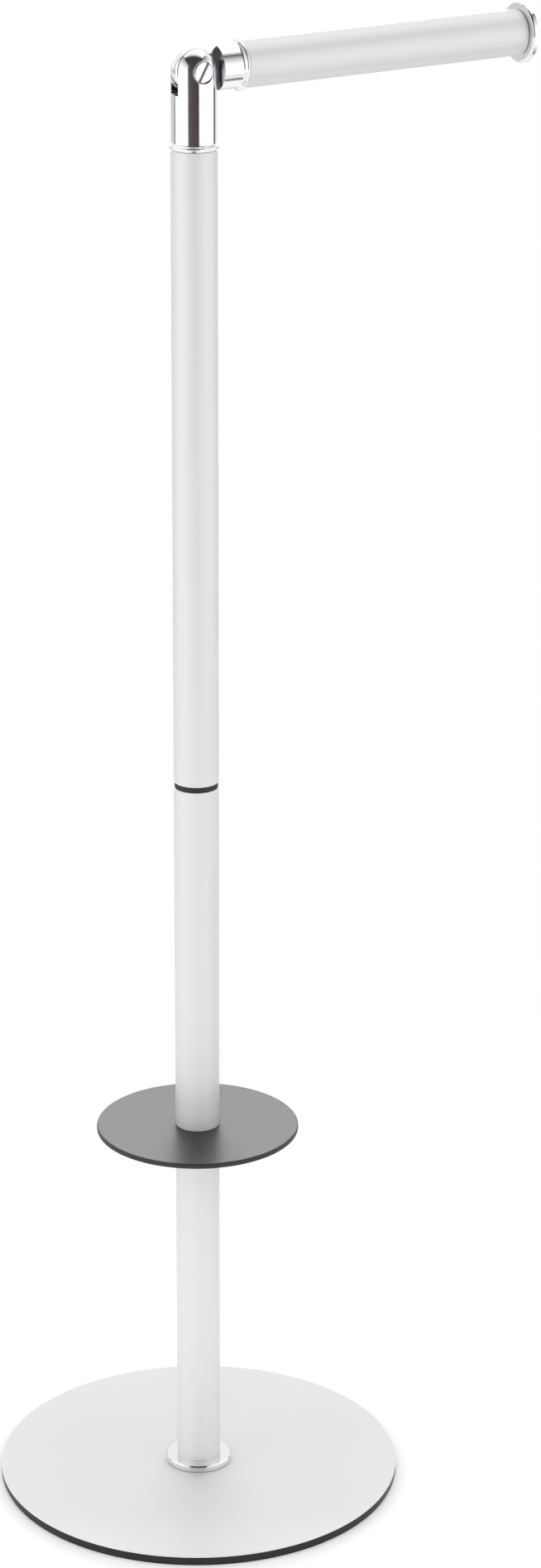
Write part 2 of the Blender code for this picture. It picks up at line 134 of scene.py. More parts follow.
class Recipe:
    """The node tree of one material or world, built node by node."""

    def __init__(self, tree: bpy.types.NodeTree) -> None:
        """Start with an empty tree."""
        self.tree = tree
        tree.nodes.clear()

    def node(self, kind: str, settings: dict[str, Any], inputs: dict[Any, Any], output: Any = 0) -> Wire:
        """Add a node.

        Args:
            kind: the node's type.
            settings: its properties, set before its sockets.
            inputs: what goes into its sockets, by name or by number: a Wire, a number or a tuple.
            output: the output socket's name or number.

        Returns:
            The output socket, ready for sums.
        """
        node = self.tree.nodes.new(kind)
        for name, value in settings.items():
            setattr(node, name, value)
        for key, value in inputs.items():
            socket = self._pick(node.inputs, key)
            if isinstance(value, Wire):
                self.tree.links.new(value.socket, socket)
            elif socket.type == "RGBA":
                socket.default_value = (*value, 1.0)
            else:
                socket.default_value = value
        return Wire(self, self._pick(node.outputs, output))

    @staticmethod
    def _pick(sockets: Any, key: Any) -> bpy.types.NodeSocket:
        """Find a socket.

        Args:
            sockets: a node's inputs or outputs.
            key: the socket's number, or the name of one in use.

        Returns:
            The socket.
        """
        if isinstance(key, int):
            return sockets[key]
        return next(socket for socket in sockets if socket.name == key and socket.enabled)

    def place(self, stretch: float = 1.0) -> Wire:
        """Object coordinates, with Z stretched.

        Args:
            stretch: how many times Z is taken.

        Returns:
            The coordinates.
        """
        coordinates = self.node("ShaderNodeTexCoord", {}, {}, "Object")
        if stretch == 1.0:
            return coordinates
        return self.node("ShaderNodeMapping", {}, {"Vector": coordinates, "Scale": (1.0, 1.0, stretch)})

    def along(self, place: Wire, direction: Sequence[float]) -> Wire:
        """How far a place lies along a direction: their dot product."""
        settings = {"operation": "DOT_PRODUCT"}
        return self.node("ShaderNodeVectorMath", settings, {0: place, 1: tuple(direction)}, "Value")

    def noise(self, size: float, detail: float = 2.0, where: Wire | None = None) -> Wire:
        """Soft noise between zero and one, whose lumps are about this size in metres."""
        inputs = {"Vector": where or self.place(), "Scale": 1.0 / size, "Detail": detail}
        return self.node("ShaderNodeTexNoise", {}, inputs, "Fac")

    def share(self, value: Wire, start: float, end: float, kind: str = "LINEAR") -> Wire:
        """How far a value has come on the way from start to end, from zero to one."""
        inputs = {"Value": value, "From Min": start, "From Max": end}
        return self.node("ShaderNodeMapRange", {"interpolation_type": kind}, inputs, "Result")

    def blend(self, share: Wire, low: Any, high: Any) -> Wire:
        """A colour between two colours."""
        inputs = {"Factor": share, "A": low, "B": high}
        return self.node("ShaderNodeMix", {"data_type": "RGBA"}, inputs, "Result")

    def bump(self, height: Wire, depth: float) -> Wire:
        """A normal bent by a height between zero and one, which stands for this many metres."""
        inputs = {"Strength": 1.0, "Distance": depth, "Height": height}
        return self.node("ShaderNodeBump", {}, inputs, "Normal")

    def glow(self, colour: Any, strength: Any) -> Wire:
        """An emission of this colour and strength."""
        return self.node("ShaderNodeEmission", {}, {"Color": colour, "Strength": strength})

    def finish(self, shader: Wire, kind: str = "ShaderNodeOutputMaterial") -> None:
        """Add the output node and link the shader to it."""
        output = self.tree.nodes.new(kind)
        self.tree.links.new(shader.socket, output.inputs["Surface"])


def new_material(name: str) -> tuple[bpy.types.Material, Recipe]:
    """Start a material.

    Args:
        name: the material's name.

    Returns:
        The material, and the recipe that fills it.
    """
    material = bpy.data.materials.new(name)
    material.use_nodes = True
    return material, Recipe(material.node_tree)


@dataclass(frozen=True)
class Finish:
    """One finish of the holder: a Principled shader whose colour, gloss and relief vary slightly."""

    name: str
    slot: str
    colour: Colour
    tint: Colour  # the colour that soft, wide noise drifts towards
    roughness: float
    roughness_drift: float
    drift_size: float  # of the lumps of colour and gloss
    grain_size: float  # of the relief
    grain_depth: float
    metallic: float = 0.0
    specular: float = 0.5
    grain_detail: float = 2.0

    def relief(self, recipe: Recipe) -> Wire:
        """The fine relief's height, from zero to one."""
        return recipe.noise(self.grain_size, self.grain_detail)

    def gloss(self, recipe: Recipe) -> Wire:
        """The roughness, which drifts over the surface."""
        drift = recipe.noise(self.drift_size / 2, 3.0)
        return self.roughness + (drift - 0.5) * self.roughness_drift

    def shade(self, recipe: Recipe) -> Wire:
        """The colour, which drifts towards the tint."""
        return recipe.blend(recipe.noise(self.drift_size, 2.0), self.colour, self.tint)

    def metal(self, recipe: Recipe) -> Wire | float:
        """How metallic it is, the same all over unless a finish says otherwise."""
        return self.metallic

    def material(self) -> bpy.types.Material:
        """Make the finish's material, or find it where it is made already.

        Returns:
            The material.
        """
        found = bpy.data.materials.get(self.name)
        if found:
            return found
        material, recipe = new_material(self.name)
        material.diffuse_color = (*self.colour, 1.0)
        inputs = {
            "Base Color": self.shade(recipe),
            "Roughness": self.gloss(recipe),
            "Metallic": self.metal(recipe),
            "Specular IOR Level": self.specular,
            "Normal": recipe.bump(self.relief(recipe), self.grain_depth),
        }
        recipe.finish(recipe.node("ShaderNodeBsdfPrincipled", {}, inputs))
        return material


@dataclass(frozen=True)
class TurnedFinish(Finish):
    """A plated metal that keeps the fine marks of turning, across the piece's axis."""

    mark_pitch: float = 0.00025

    def relief(self, recipe: Recipe) -> Wire:
        """Rings across the axis, whose spacing wanders, on top of the fine grain."""
        return recipe.noise(self.grain_size, 3.0, recipe.place(self.grain_size / self.mark_pitch))


@dataclass(frozen=True)
class SlottedFinish(Finish):
    """A plated finish that turns dull and brown inside the slot of the pivot screw, which faces -Y."""

    # inside the slot: a dull brownish grey, rougher than the plating and not metallic
    slot_colour: Colour = (0.36, 0.315, 0.30)
    slot_roughness: float = 0.5
    start: float = -0.0094  # along Y, where the slot's colour begins
    half_slot: float = 0.00074

    def inside(self, recipe: Recipe) -> Wire:
        """Tell the slot's inside: deeper than where the slot's colour begins, and near the slot's middle
        line.

        Args:
            recipe: the material's node tree.

        Returns:
            One inside the slot and zero elsewhere.
        """
        inputs = {0: recipe.place(), 1: tuple(HINGE)}
        over = recipe.node("ShaderNodeVectorMath", {"operation": "SUBTRACT"}, inputs)
        side = recipe.along(over, (math.cos(SCREW_LEAN), 0.0, -math.sin(SCREW_LEAN)))
        depth = recipe.along(over, (0.0, 1.0, 0.0))
        return (side * side < self.half_slot**2) * (depth > self.start)

    def shade(self, recipe: Recipe) -> Wire:
        """The plating's colour, and a dull brownish grey in the slot."""
        return recipe.blend(self.inside(recipe), super().shade(recipe), self.slot_colour)

    def gloss(self, recipe: Recipe) -> Wire:
        """The plating's roughness, and a higher one in the slot."""
        inside = self.inside(recipe)
        return super().gloss(recipe) * (1.0 - inside) + inside * self.slot_roughness

    def metal(self, recipe: Recipe) -> Wire:
        """Inside the slot it is not metallic."""
        return (1.0 - self.inside(recipe)) * self.metallic


# Name, slot, colour, tint, roughness and its drift, size of the drift, size and depth of the grain.
WHITE_ENAMEL = Finish(
    "white_enamel", "white_enamel", (0.795, 0.797, 0.793), (0.775, 0.775, 0.770),
    0.44, 0.05, 0.045, 0.0011, 0.000004, specular=0.2,
)
BLACK_ENAMEL = Finish(
    "black_enamel", "black_enamel", (0.042, 0.040, 0.040), (0.034, 0.032, 0.032),
    0.42, 0.06, 0.014, 0.00042, 0.000012, specular=0.6, grain_detail=3.0,
)
WEIGHT_ENAMEL = replace(
    BLACK_ENAMEL, name="black_enamel_edge", specular=0.3,
    colour=(0.020, 0.019, 0.019), tint=(0.016, 0.015, 0.015),
)
CHROME = Finish(
    "chrome", "chrome", (0.88, 0.88, 0.895), (0.86, 0.86, 0.88),
    0.035, 0.02, 0.006, 0.0035, 0.0000015, metallic=1.0,
)
SLOTTED_CHROME = SlottedFinish(
    "chrome_slotted", "chrome", (0.88, 0.88, 0.895), (0.86, 0.86, 0.88),
    0.035, 0.02, 0.006, 0.0035, 0.0000015, metallic=1.0,
)
BLACK_RUBBER = Finish(
    "black_rubber", "black_rubber", (0.018, 0.018, 0.018), (0.028, 0.027, 0.026),
    0.82, 0.10, 0.008, 0.0006, 0.00003, grain_detail=4.0,
)
BLACK_PLASTIC = Finish(
    "black_plastic", "black_plastic", (0.030, 0.026, 0.028), (0.024, 0.021, 0.022),
    0.45, 0.08, 0.004, 0.0003, 0.000006, specular=0.35,
)
ZINC_STEEL = TurnedFinish(
    "zinc_steel", "zinc_steel", (0.60, 0.60, 0.57), (0.54, 0.56, 0.60),
    0.34, 0.12, 0.006, 0.002, 0.000004, metallic=1.0,
)
WHITE_NYLON = Finish(
    "white_nylon", "white_nylon", (0.78, 0.77, 0.72), (0.74, 0.73, 0.68),
    0.50, 0.08, 0.005, 0.0004, 0.00001,
)


class Shell:
    """A closed surface, gathered from grids of points that meet along their edges."""

    def __init__(self) -> None:
        """Start with no grids."""
        self.points: list[Array] = []
        self.quads: list[NDArray[np.int64]] = []
        self.count = 0

    def grid(self, points: Array, wrap: bool = False) -> "Shell":
        """Add a grid of quads.

        Args:
            points: an array of rows, columns and coordinates.
            wrap: whether the last column joins the first.

        Returns:
            The shell itself.
        """
        rows, columns = points.shape[:2]
        index = np.arange(rows * columns).reshape(rows, columns) + self.count
        ahead = np.roll(index, -1, axis=1)
        here = index if wrap else index[:, :-1]
        ahead = ahead if wrap else ahead[:, :-1]
        quads = np.stack([here[:-1], ahead[:-1], ahead[1:], here[1:]], axis=-1)
        self.points.append(points.reshape(-1, 3))
        self.quads.append(quads.reshape(-1, 4))
        self.count += rows * columns
        return self

    def band(self, points: Array) -> "Shell":
        """Add a grid that closes on itself, last column to first."""
        return self.grid(points, wrap=True)

    def turned(self, profile: Array, steps: int) -> "Shell":
        """Add an outline turned about the Z axis."""
        return self.band(turn(profile, steps))

    def piece(self, name: str, place: Matrix | None = None) -> bpy.types.Object:
        """Close the seams and poles and make the object.

        Args:
            name: the object's name.
            place: where the surface goes, or None where it is already in place.

        Returns:
            The object, at the origin, with its place in its mesh.
        """
        points = np.concatenate(self.points)
        mesh = bpy.data.meshes.new(name)
        mesh.from_pydata(points.tolist(), [], np.concatenate(self.quads).tolist())
        weld = bmesh.new()
        weld.from_mesh(mesh)
        bmesh.ops.remove_doubles(weld, verts=weld.verts, dist=MERGE_DISTANCE)
        bmesh.ops.recalc_face_normals(weld, faces=weld.faces)
        if weld.calc_volume(signed=True) < 0.0:
            bmesh.ops.reverse_faces(weld, faces=weld.faces)
        weld.to_mesh(mesh)
        weld.free()
        if place:
            mesh.transform(place)
        mesh.shade_smooth()
        mesh.set_sharp_from_angle(angle=SHARP_ANGLE)
        obj = bpy.data.objects.new(name, mesh)
        bpy.context.scene.collection.objects.link(obj)
        return obj


def corner_points(corner: Array, before: Array, after: Array, radius: float) -> list[Array]:
    """Points of one rounded corner of an outline.

    The arc touches both sides at radius / tan(half the corner's angle), and its centre lies on the
    corner's bisector. A support point goes beyond each end where the side is long enough.

    Args:
        corner: the corner itself.
        before: the corner before it.
        after: the corner after it.
        radius: the arc's radius.

    Returns:
        The points from the side before to the side after.
    """
    back, on = before - corner, after - corner
    back_length, on_length = np.linalg.norm(back), np.linalg.norm(on)
    back, on = back / back_length, on / on_length
    half = math.acos(float(np.clip(back @ on, -1.0, 1.0))) / 2
    reach = radius / math.tan(half)
    middle = (back + on) / np.linalg.norm(back + on)
    centre = corner + middle * radius / math.sin(half)
    first = corner + back * reach - centre
    last = corner + on * reach - centre
    start = math.atan2(first[1], first[0])
    sweep = (math.atan2(last[1], last[0]) - start + math.pi) % (2 * math.pi) - math.pi
    steps = BROAD_STEPS if radius >= BROAD_FILLET else FILLET_STEPS
    angles = start + sweep * np.linspace(0.0, 1.0, steps + 1)
    arc = [centre + radius * np.array([math.cos(angle), math.sin(angle)]) for angle in angles]
    room = 3 * SUPPORT
    if back_length - reach > room:
        arc.insert(0, corner + back * (reach + SUPPORT))
    if on_length - reach > room:
        arc.append(corner + on * (reach + SUPPORT))
    return arc


def outline(corners: Sequence[Corner], closed: bool) -> Array:
    """A turned piece's outline from its corners.

    Args:
        corners: radius, height and fillet radius of each corner.
        closed: whether the outline is a ring, or an open line that ends on the axis.

    Returns:
        Points of radius and height. A closed outline repeats its first point at its end.
    """
    flat = [np.array(corner[:2]) for corner in corners]
    points: list[Array] = []
    for index, (radius, height, fillet) in enumerate(corners):
        end = not closed and index in (0, len(corners) - 1)
        if end or fillet == 0.0:
            points.append(np.array([radius, height]))
            continue
        after = flat[(index + 1) % len(flat)]
        points.extend(corner_points(flat[index], flat[index - 1], after, fillet))
    if closed:
        points.append(points[0])
    return np.array(points)


def ring_outline(hole: float, radius: float, bottom: float, top: float, fillets: Sequence[float]) -> Array:
    """The closed outline of a tube, or of a disc with a hole.

    Args:
        hole: inner radius.
        radius: outer radius.
        bottom: height of its lower face.
        top: height of its upper face.
        fillets: of its inner upper, outer upper, outer lower and inner lower edges.

    Returns:
        The outline's points.
    """
    places = ((hole, top), (radius, top), (radius, bottom), (hole, bottom))
    return outline([(*place, fillet) for place, fillet in zip(places, fillets)], True)


@dataclass(frozen=True)
class Collar:
    """The collar that ends the fork and the tongue: a flare from the shank and a rounded rim.

    Heights are measured from its face against the tube, and radii from its axis.
    """

    slant: float  # of the flare's normal, from square to the axis towards the shank
    crest_height: float
    cove: float = 0.0009
    shank: float = 0.01065
    crest: float = 0.0121
    rim: float = 0.0007
    undercut: float = math.radians(38)  # of the lower side's normal, towards the tube
    foot_edge: float = 0.00012

    def corners(self, face: float) -> list[Corner]:
        """The corners of its outline, from the shank to the foot.

        The rim is an arc with its outermost point at the crest. Its corner lies on the bisector of
        the two normals, at rim / cos(half the turn) from the arc's centre. The flare rises to the
        shank by the way inwards / tan(slant), and the lower side runs in by height x tan(undercut).

        Args:
            face: height of the face against the tube.

        Returns:
            Radius, height and fillet of each corner.
        """
        half, middle = (self.slant + self.undercut) / 2, (self.slant - self.undercut) / 2
        reach = self.rim / math.cos(half)
        radius = self.crest - self.rim + reach * math.cos(middle)
        height = self.crest_height + reach * math.sin(middle)
        top = height + (radius - self.shank) / math.tan(self.slant)
        foot = radius - height * math.tan(self.undercut)
        return [
            (self.shank, face + top, self.cove),
            (radius, face + height, self.rim),
            (foot, face, self.foot_edge),
        ]


def turn(profile: Array, steps: int) -> Array:
    """Turn an outline about the Z axis: (r cos a, r sin a, h) over rows of r, h and columns of a."""
    angles = np.arange(steps) * (2 * math.pi / steps)
    return turn_by(profile, np.stack([np.cos(angles), np.sin(angles)], axis=-1))


def turn_by(profile: Array, directions: Array) -> Array:
    """Carry an outline round a list of directions: (r dx, r dy, h).

    Args:
        profile: points of radius and height.
        directions: the x and y of each direction.

    Returns:
        Rows of points along the outline, with a column for each direction.
    """
    flat = profile[:, None, :1] * directions[None, :, :]
    height = np.broadcast_to(profile[:, None, 1:], (*flat.shape[:2], 1))
    return np.concatenate([flat, height], axis=-1)


def lathe(name: str, profile: Array, steps: int, place: Matrix | None = None) -> bpy.types.Object:
    """A turned piece.

    Args:
        name: the piece's name.
        profile: its outline, as radius and height.
        steps: how many facets go round it.
        place: where its own axis goes, or None for the pole's axis.

    Returns:
        The object.
    """
    return Shell().turned(profile, steps).piece(name, place)


def extent(node: str) -> tuple[float, float, float]:
    """The radius of an upright round node, and the heights of its lower and upper end."""
    low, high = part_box(node)
    return float(high.y), float(low.z), float(high.z)


class Assembly:
    """A sub-assembly, all of whose pieces move with one body."""

    body: ClassVar[Body] = Body.STAND

    def pieces(self) -> Iterator[tuple[bpy.types.Object, Finish, str]]:
        """Each finished piece, what it is made of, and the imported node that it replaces."""
        raise NotImplementedError

    def build(self) -> None:
        """Make every piece, give it its finish and its body, and let it stand for its node."""
        for piece, finish, node in self.pieces():
            piece.data.materials.append(finish.material())
            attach(piece, self.body.value)
            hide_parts(node)
            faces = len(piece.data.polygons)
            LOG.info("%s: %d faces, %s, rides on %s", piece.name, faces, finish.name, self.body.value)


@dataclass(frozen=True)
class ScrewThread:
    """The one thread that the studs, inserts and bolt share."""

    pitch: float = 0.00125
    depth: float = 0.00055
    hole: float = 0.00415  # root radius of the inserts' holes, and radius of the plain ones
    stud: float = 0.0040  # radius of the studs
    rows: int = 10  # of points in one turn
    slope: float = 1.6  # of the flanks, where a plain triangle wave has 1
    flat: float = 0.3  # how much of the wave the root cuts off
    fade: float = 0.0008  # length over which a thread's end runs out
    steps: int = 48
    knurl_depth: float = 0.00012
    knurl_count: int = 36
    knurl_steps: int = 6
    plain_band: float = 0.002  # of an insert, at each end of its knurl
    knurl_rise: float = 0.0002  # length over which a knurl reaches its depth
    insert_edge: float = 0.0004

    def surface(self, bottom: float, top: float, crest: float, around: int) -> Array:
        """The grid of a screwed rod or bore.

        The radius is crest - depth x t, where t is a clipped triangle wave of (height / pitch - angle /
        whole turn). It runs out to the root over the fade's length at both ends.

        Args:
            bottom: lower end of the thread.
            top: upper end of the thread.
            crest: radius over the thread.
            around: facets round the rod.

        Returns:
            Rows of points from the top down, columns round the rod.
        """
        rows = int(math.ceil((top - bottom) / self.pitch * self.rows)) + 1
        height = np.linspace(top, bottom, rows)[:, None]
        angle = (np.arange(around) * (2 * math.pi / around))[None, :]
        phase = (height / self.pitch - angle / (2 * math.pi)) % 1.0
        wave = np.clip(self.slope * (1.0 - np.abs(2.0 * phase - 1.0)) - self.flat, 0.0, 1.0)
        run_out = np.clip(np.minimum(top - height, height - bottom) / self.fade, 0.0, 1.0)
        radius = crest - self.depth * (1.0 - (1.0 - wave) * run_out)
        height = np.broadcast_to(height, radius.shape)
        return np.stack([radius * np.cos(angle), radius * np.sin(angle), height], axis=-1)

    def rod(self, bottom: float, top: float, radius: float) -> Shell:
        """A threaded rod with a small cone at its top, still open below.

        Args:
            bottom: height at which the thread begins.
            top: height of the rod's end.
            radius: over the thread.

        Returns:
            The shell, for the caller to close.
        """
        root = radius - self.depth
        tip = np.array([[0.0, top], [root - self.fade / 2, top], [root, top - self.fade]])
        thread = self.surface(bottom, top - self.fade, radius, self.steps)
        return Shell().turned(tip, self.steps).band(thread)

    def stud_piece(
        self, name: str, bottom: float, top: float, place: Matrix | None = None
    ) -> bpy.types.Object:
        """A stud threaded from end to end, with a small cone at each end.

        Args:
            name: the piece's name.
            bottom: height of its lower end.
            top: height of its upper end.
            place: where its own axis goes, or None for the pole's axis.

        Returns:
            The stud.
        """
        root = self.stud - self.depth
        foot = np.array([[root, bottom + self.fade], [root - self.fade / 2, bottom], [0.0, bottom]])
        return self.rod(bottom + self.fade, top, self.stud).turned(foot, self.steps).piece(name, place)

    def insert_piece(
        self, name: str, radius: float, bottom: float, top: float, place: Matrix | None = None
    ) -> bpy.types.Object:
        """A round insert with a knurled side and a threaded hole.

        The knurl's radius is radius - depth x (1 - |cos(count x angle / 2)|), with plain bands at the ends.

        Args:
            name: the piece's name.
            radius: of its side.
            bottom: height of its lower end.
            top: height of its upper end.
            place: where its own axis goes, or None for the pole's axis.

        Returns:
            The insert.
        """
        steps = self.knurl_count * self.knurl_steps
        edge, near, far = self.insert_edge, self.plain_band, self.plain_band + self.knurl_rise
        entry = self.hole + self.depth
        angles = np.arange(steps) * (2 * math.pi / steps)
        directions = np.stack([np.cos(angles), np.sin(angles)], axis=-1)
        knurl = self.knurl_depth * (1.0 - np.abs(np.cos(angles * self.knurl_count / 2)))
        side = radius - np.array([0.0, 0.0, 1.0, 1.0, 0.0, 0.0])[:, None] * knurl
        levels = np.array([top - edge, top - near, top - far, bottom + far, bottom + near, bottom + edge])
        levels = np.broadcast_to(levels[:, None, None], (*side.shape, 1))
        wall = np.concatenate([side[..., None] * directions, levels], axis=-1)
        crown = np.array([[entry, top], [radius - edge, top], [radius, top - edge]])
        sole = np.array([[radius, bottom + edge], [radius - edge, bottom], [entry, bottom]])
        shell = Shell().band(turn_by(crown, directions)).band(wall).band(turn_by(sole, directions))
        return shell.band(self.surface(bottom, top, entry, steps)).piece(name, place)


@dataclass
class Base(Assembly):
    """The pad, the weight and its enamelled cover, the foot flange and the bolt through them."""

    steps: int = 288
    flange_steps: int = 192
    sheet_edge: float = 0.0003  # fillet of the cover's outer edge
    sheet_lower_edge: float = 0.00015
    weight_edge: float = 0.00035
    pad_edge: float = 0.0003
    flange_edge: float = 0.0010
    flange_foot_edge: float = 0.00025
    flange_lip: float = 0.00015
    groove_places: tuple[float, float, int] = (0.12, 0.92, 9)  # first and last, as shares, and how many
    groove_half: float = 0.0012
    groove_floor: float = 0.6  # half its floor's width, as a share of half its own
    groove_depth: float = 0.0003
    bolt_head: float = 0.0012  # its thickness
    bolt_head_edge: float = 0.0003
    bolt_neck: float = 0.003  # between the head and the thread
    recess_radius: float = 0.0092
    recess_depth: float = 0.0014
    thread: ScrewThread = ScrewThread()

    def cover(self) -> bpy.types.Object:
        """The white sheet on top, with a rolled edge.

        Returns:
            The cover.
        """
        fillets = (FINE_EDGE, self.sheet_edge, self.sheet_lower_edge, FINE_EDGE)
        profile = ring_outline(self.thread.hole, *extent("base_cover"), fillets)
        return lathe("cover_sheet", profile, self.steps)

    def weight(self) -> bpy.types.Object:
        """The black steel disc, with a recess under it for the bolt's head.

        Returns:
            The weight.
        """
        radius, bottom, top = extent("base_weight")
        hole = self.thread.hole
        corners = [
            (hole, top, FINE_EDGE),
            (radius, top, self.weight_edge),
            (radius, bottom, self.weight_edge),
            (self.recess_radius, bottom, FINE_EDGE),
            (self.recess_radius, bottom + self.recess_depth, FINE_EDGE),
            (hole, bottom + self.recess_depth, FINE_EDGE),
        ]
        return lathe("weight_disc", outline(corners, True), self.steps)

    def pad(self) -> bpy.types.Object:
        """The rubber pad, with rings of shallow grooves in its lower face.

        Returns:
            The pad.
        """
        radius, bottom, top = extent("base_pad")
        mouth, floor = self.groove_half, self.groove_half * self.groove_floor
        corners = [(0.0, top, 0.0), (radius, top, self.pad_edge), (radius, bottom, self.pad_edge)]
        for share in np.linspace(*self.groove_places)[::-1]:
            middle = radius * float(share)
            sides = ((mouth, 0.0), (floor, self.groove_depth), (-floor, self.groove_depth), (-mouth, 0.0))
            corners += [(middle + out, bottom + depth, FINE_EDGE) for out, depth in sides]
        corners.append((0.0, bottom, 0.0))
        return lathe("rubber_pad", outline(corners, False), self.steps)

    def flange(self) -> bpy.types.Object:
        """The chrome ring at the pole's foot, with a round upper edge.

        Returns:
            The flange.
        """
        fillets = (self.flange_lip, self.flange_edge, self.flange_foot_edge, self.flange_lip)
        profile = ring_outline(self.thread.hole, *extent("foot_flange"), fillets)
        return lathe("foot_ring", profile, self.flange_steps)

    def bolt(self) -> bpy.types.Object:
        """The low-headed bolt that the lower tube's insert screws on to.

        Returns:
            The bolt.
        """
        head, bottom, top = extent("base_bolt")
        thread, shoulder = self.thread, bottom + self.bolt_head
        start = shoulder + self.bolt_neck
        root = thread.stud - thread.depth
        corners = [
            (root, start, 0.0),
            (root, shoulder, 0.0),
            (head, shoulder, self.bolt_head_edge),
            (head, bottom, self.bolt_head_edge),
            (0.0, bottom, 0.0),
        ]
        rod = thread.rod(start, top, thread.stud)
        return rod.turned(outline(corners, False), thread.steps).piece("captive_bolt")

    def pieces(self) -> Iterator[tuple[bpy.types.Object, Finish, str]]:
        """The pieces of the base, from the floor up.

        Returns:
            Each piece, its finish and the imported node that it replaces.
        """
        yield self.pad(), BLACK_RUBBER, "base_pad"
        yield self.weight(), WEIGHT_ENAMEL, "base_weight"
        yield self.cover(), WHITE_ENAMEL, "base_cover"
        yield self.flange(), CHROME, "foot_flange"
        yield self.bolt(), ZINC_STEEL, "base_bolt"


@dataclass
class Pole(Assembly):
    """The three tubes, their inserts and studs, the disc for spare rolls and the black ring."""

    steps: int = 192
    disc_steps: int = 224
    wall: float = 0.0010
    tube_edge: float = 0.00045
    tube_foot_edge: float = 0.00012  # where a tube stands on the flange or the disc
    disc_edge: float = 0.0009
    disc_lower_edge: float = 0.0005
    seat_depth: float = 0.00045
    seat_gap: float = 0.00028
    seat_edge: float = 0.00005
    flange_gap: float = 0.0002  # between the lower tube and the flange it stands on
    ring_edge: float = 0.0003
    thread: ScrewThread = ScrewThread()

    def tube(self, node: str, name: str, foot: float, reach: float = 0.0) -> bpy.types.Object:
        """One tube, with its cut ends broken.

        Args:
            node: the tube's node.
            name: the new piece's name.
            foot: fillet of its lower end.
            reach: how far it goes on below the node, to close the gap under it.

        Returns:
            The tube.
        """
        radius, bottom, top = extent(node)
        fillets = (self.tube_edge, self.tube_edge, foot, foot)
        profile = ring_outline(radius - self.wall, radius, bottom - reach, top, fillets)
        return lathe(name, profile, self.steps)

    def disc(self) -> bpy.types.Object:
        """The black disc, with the shallow seat of the tube above.

        Returns:
            The disc.
        """
        radius, bottom, top = extent("spare_roll_disc")
        seat = extent("middle_tube")[0] + self.seat_gap
        hole = self.thread.hole
        corners = [
            (hole, top - self.seat_depth, 0.0),
            (seat, top - self.seat_depth, self.seat_edge),
            (seat, top, self.seat_edge),
            (radius, top, self.disc_edge),
            (radius, bottom, self.disc_lower_edge),
            (hole, bottom, FINE_EDGE),
        ]
        return lathe("roll_disc", outline(corners, True), self.disc_steps)

    def ring(self) -> bpy.types.Object:
        """The thin black ring between the middle and upper tubes.

        Returns:
            The ring.
        """
        fillets = (FINE_EDGE, self.ring_edge, self.ring_edge, FINE_EDGE)
        profile = ring_outline(self.thread.hole, *extent("joint_ring"), fillets)
        return lathe("black_ring", profile, self.steps)

    def pieces(self) -> Iterator[tuple[bpy.types.Object, Finish, str]]:
        """The tubes, the disc and the ring, and the screwed pieces inside.

        Returns:
            Each piece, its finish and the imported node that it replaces.
        """
        foot = self.tube_foot_edge
        yield self.tube("lower_tube", "pole_lower", foot, self.flange_gap), WHITE_ENAMEL, "lower_tube"
        yield self.tube("middle_tube", "pole_middle", foot), WHITE_ENAMEL, "middle_tube"
        yield self.tube("upper_tube", "pole_upper", self.tube_edge), WHITE_ENAMEL, "upper_tube"
        yield self.disc(), BLACK_ENAMEL, "spare_roll_disc"
        yield self.ring(), BLACK_PLASTIC, "joint_ring"
        for section in ("foot", "lower_top", "middle_bottom", "middle_top", "upper_bottom", "upper_top"):
            node = f"{section}_insert"
            yield self.thread.insert_piece(f"{node}_knurled", *extent(node)), ZINC_STEEL, node
        for node in ("disc_stud", "joint_stud", "knuckle_stud"):
            yield self.thread.stud_piece(f"{node}_threaded", *extent(node)[1:]), ZINC_STEEL, node


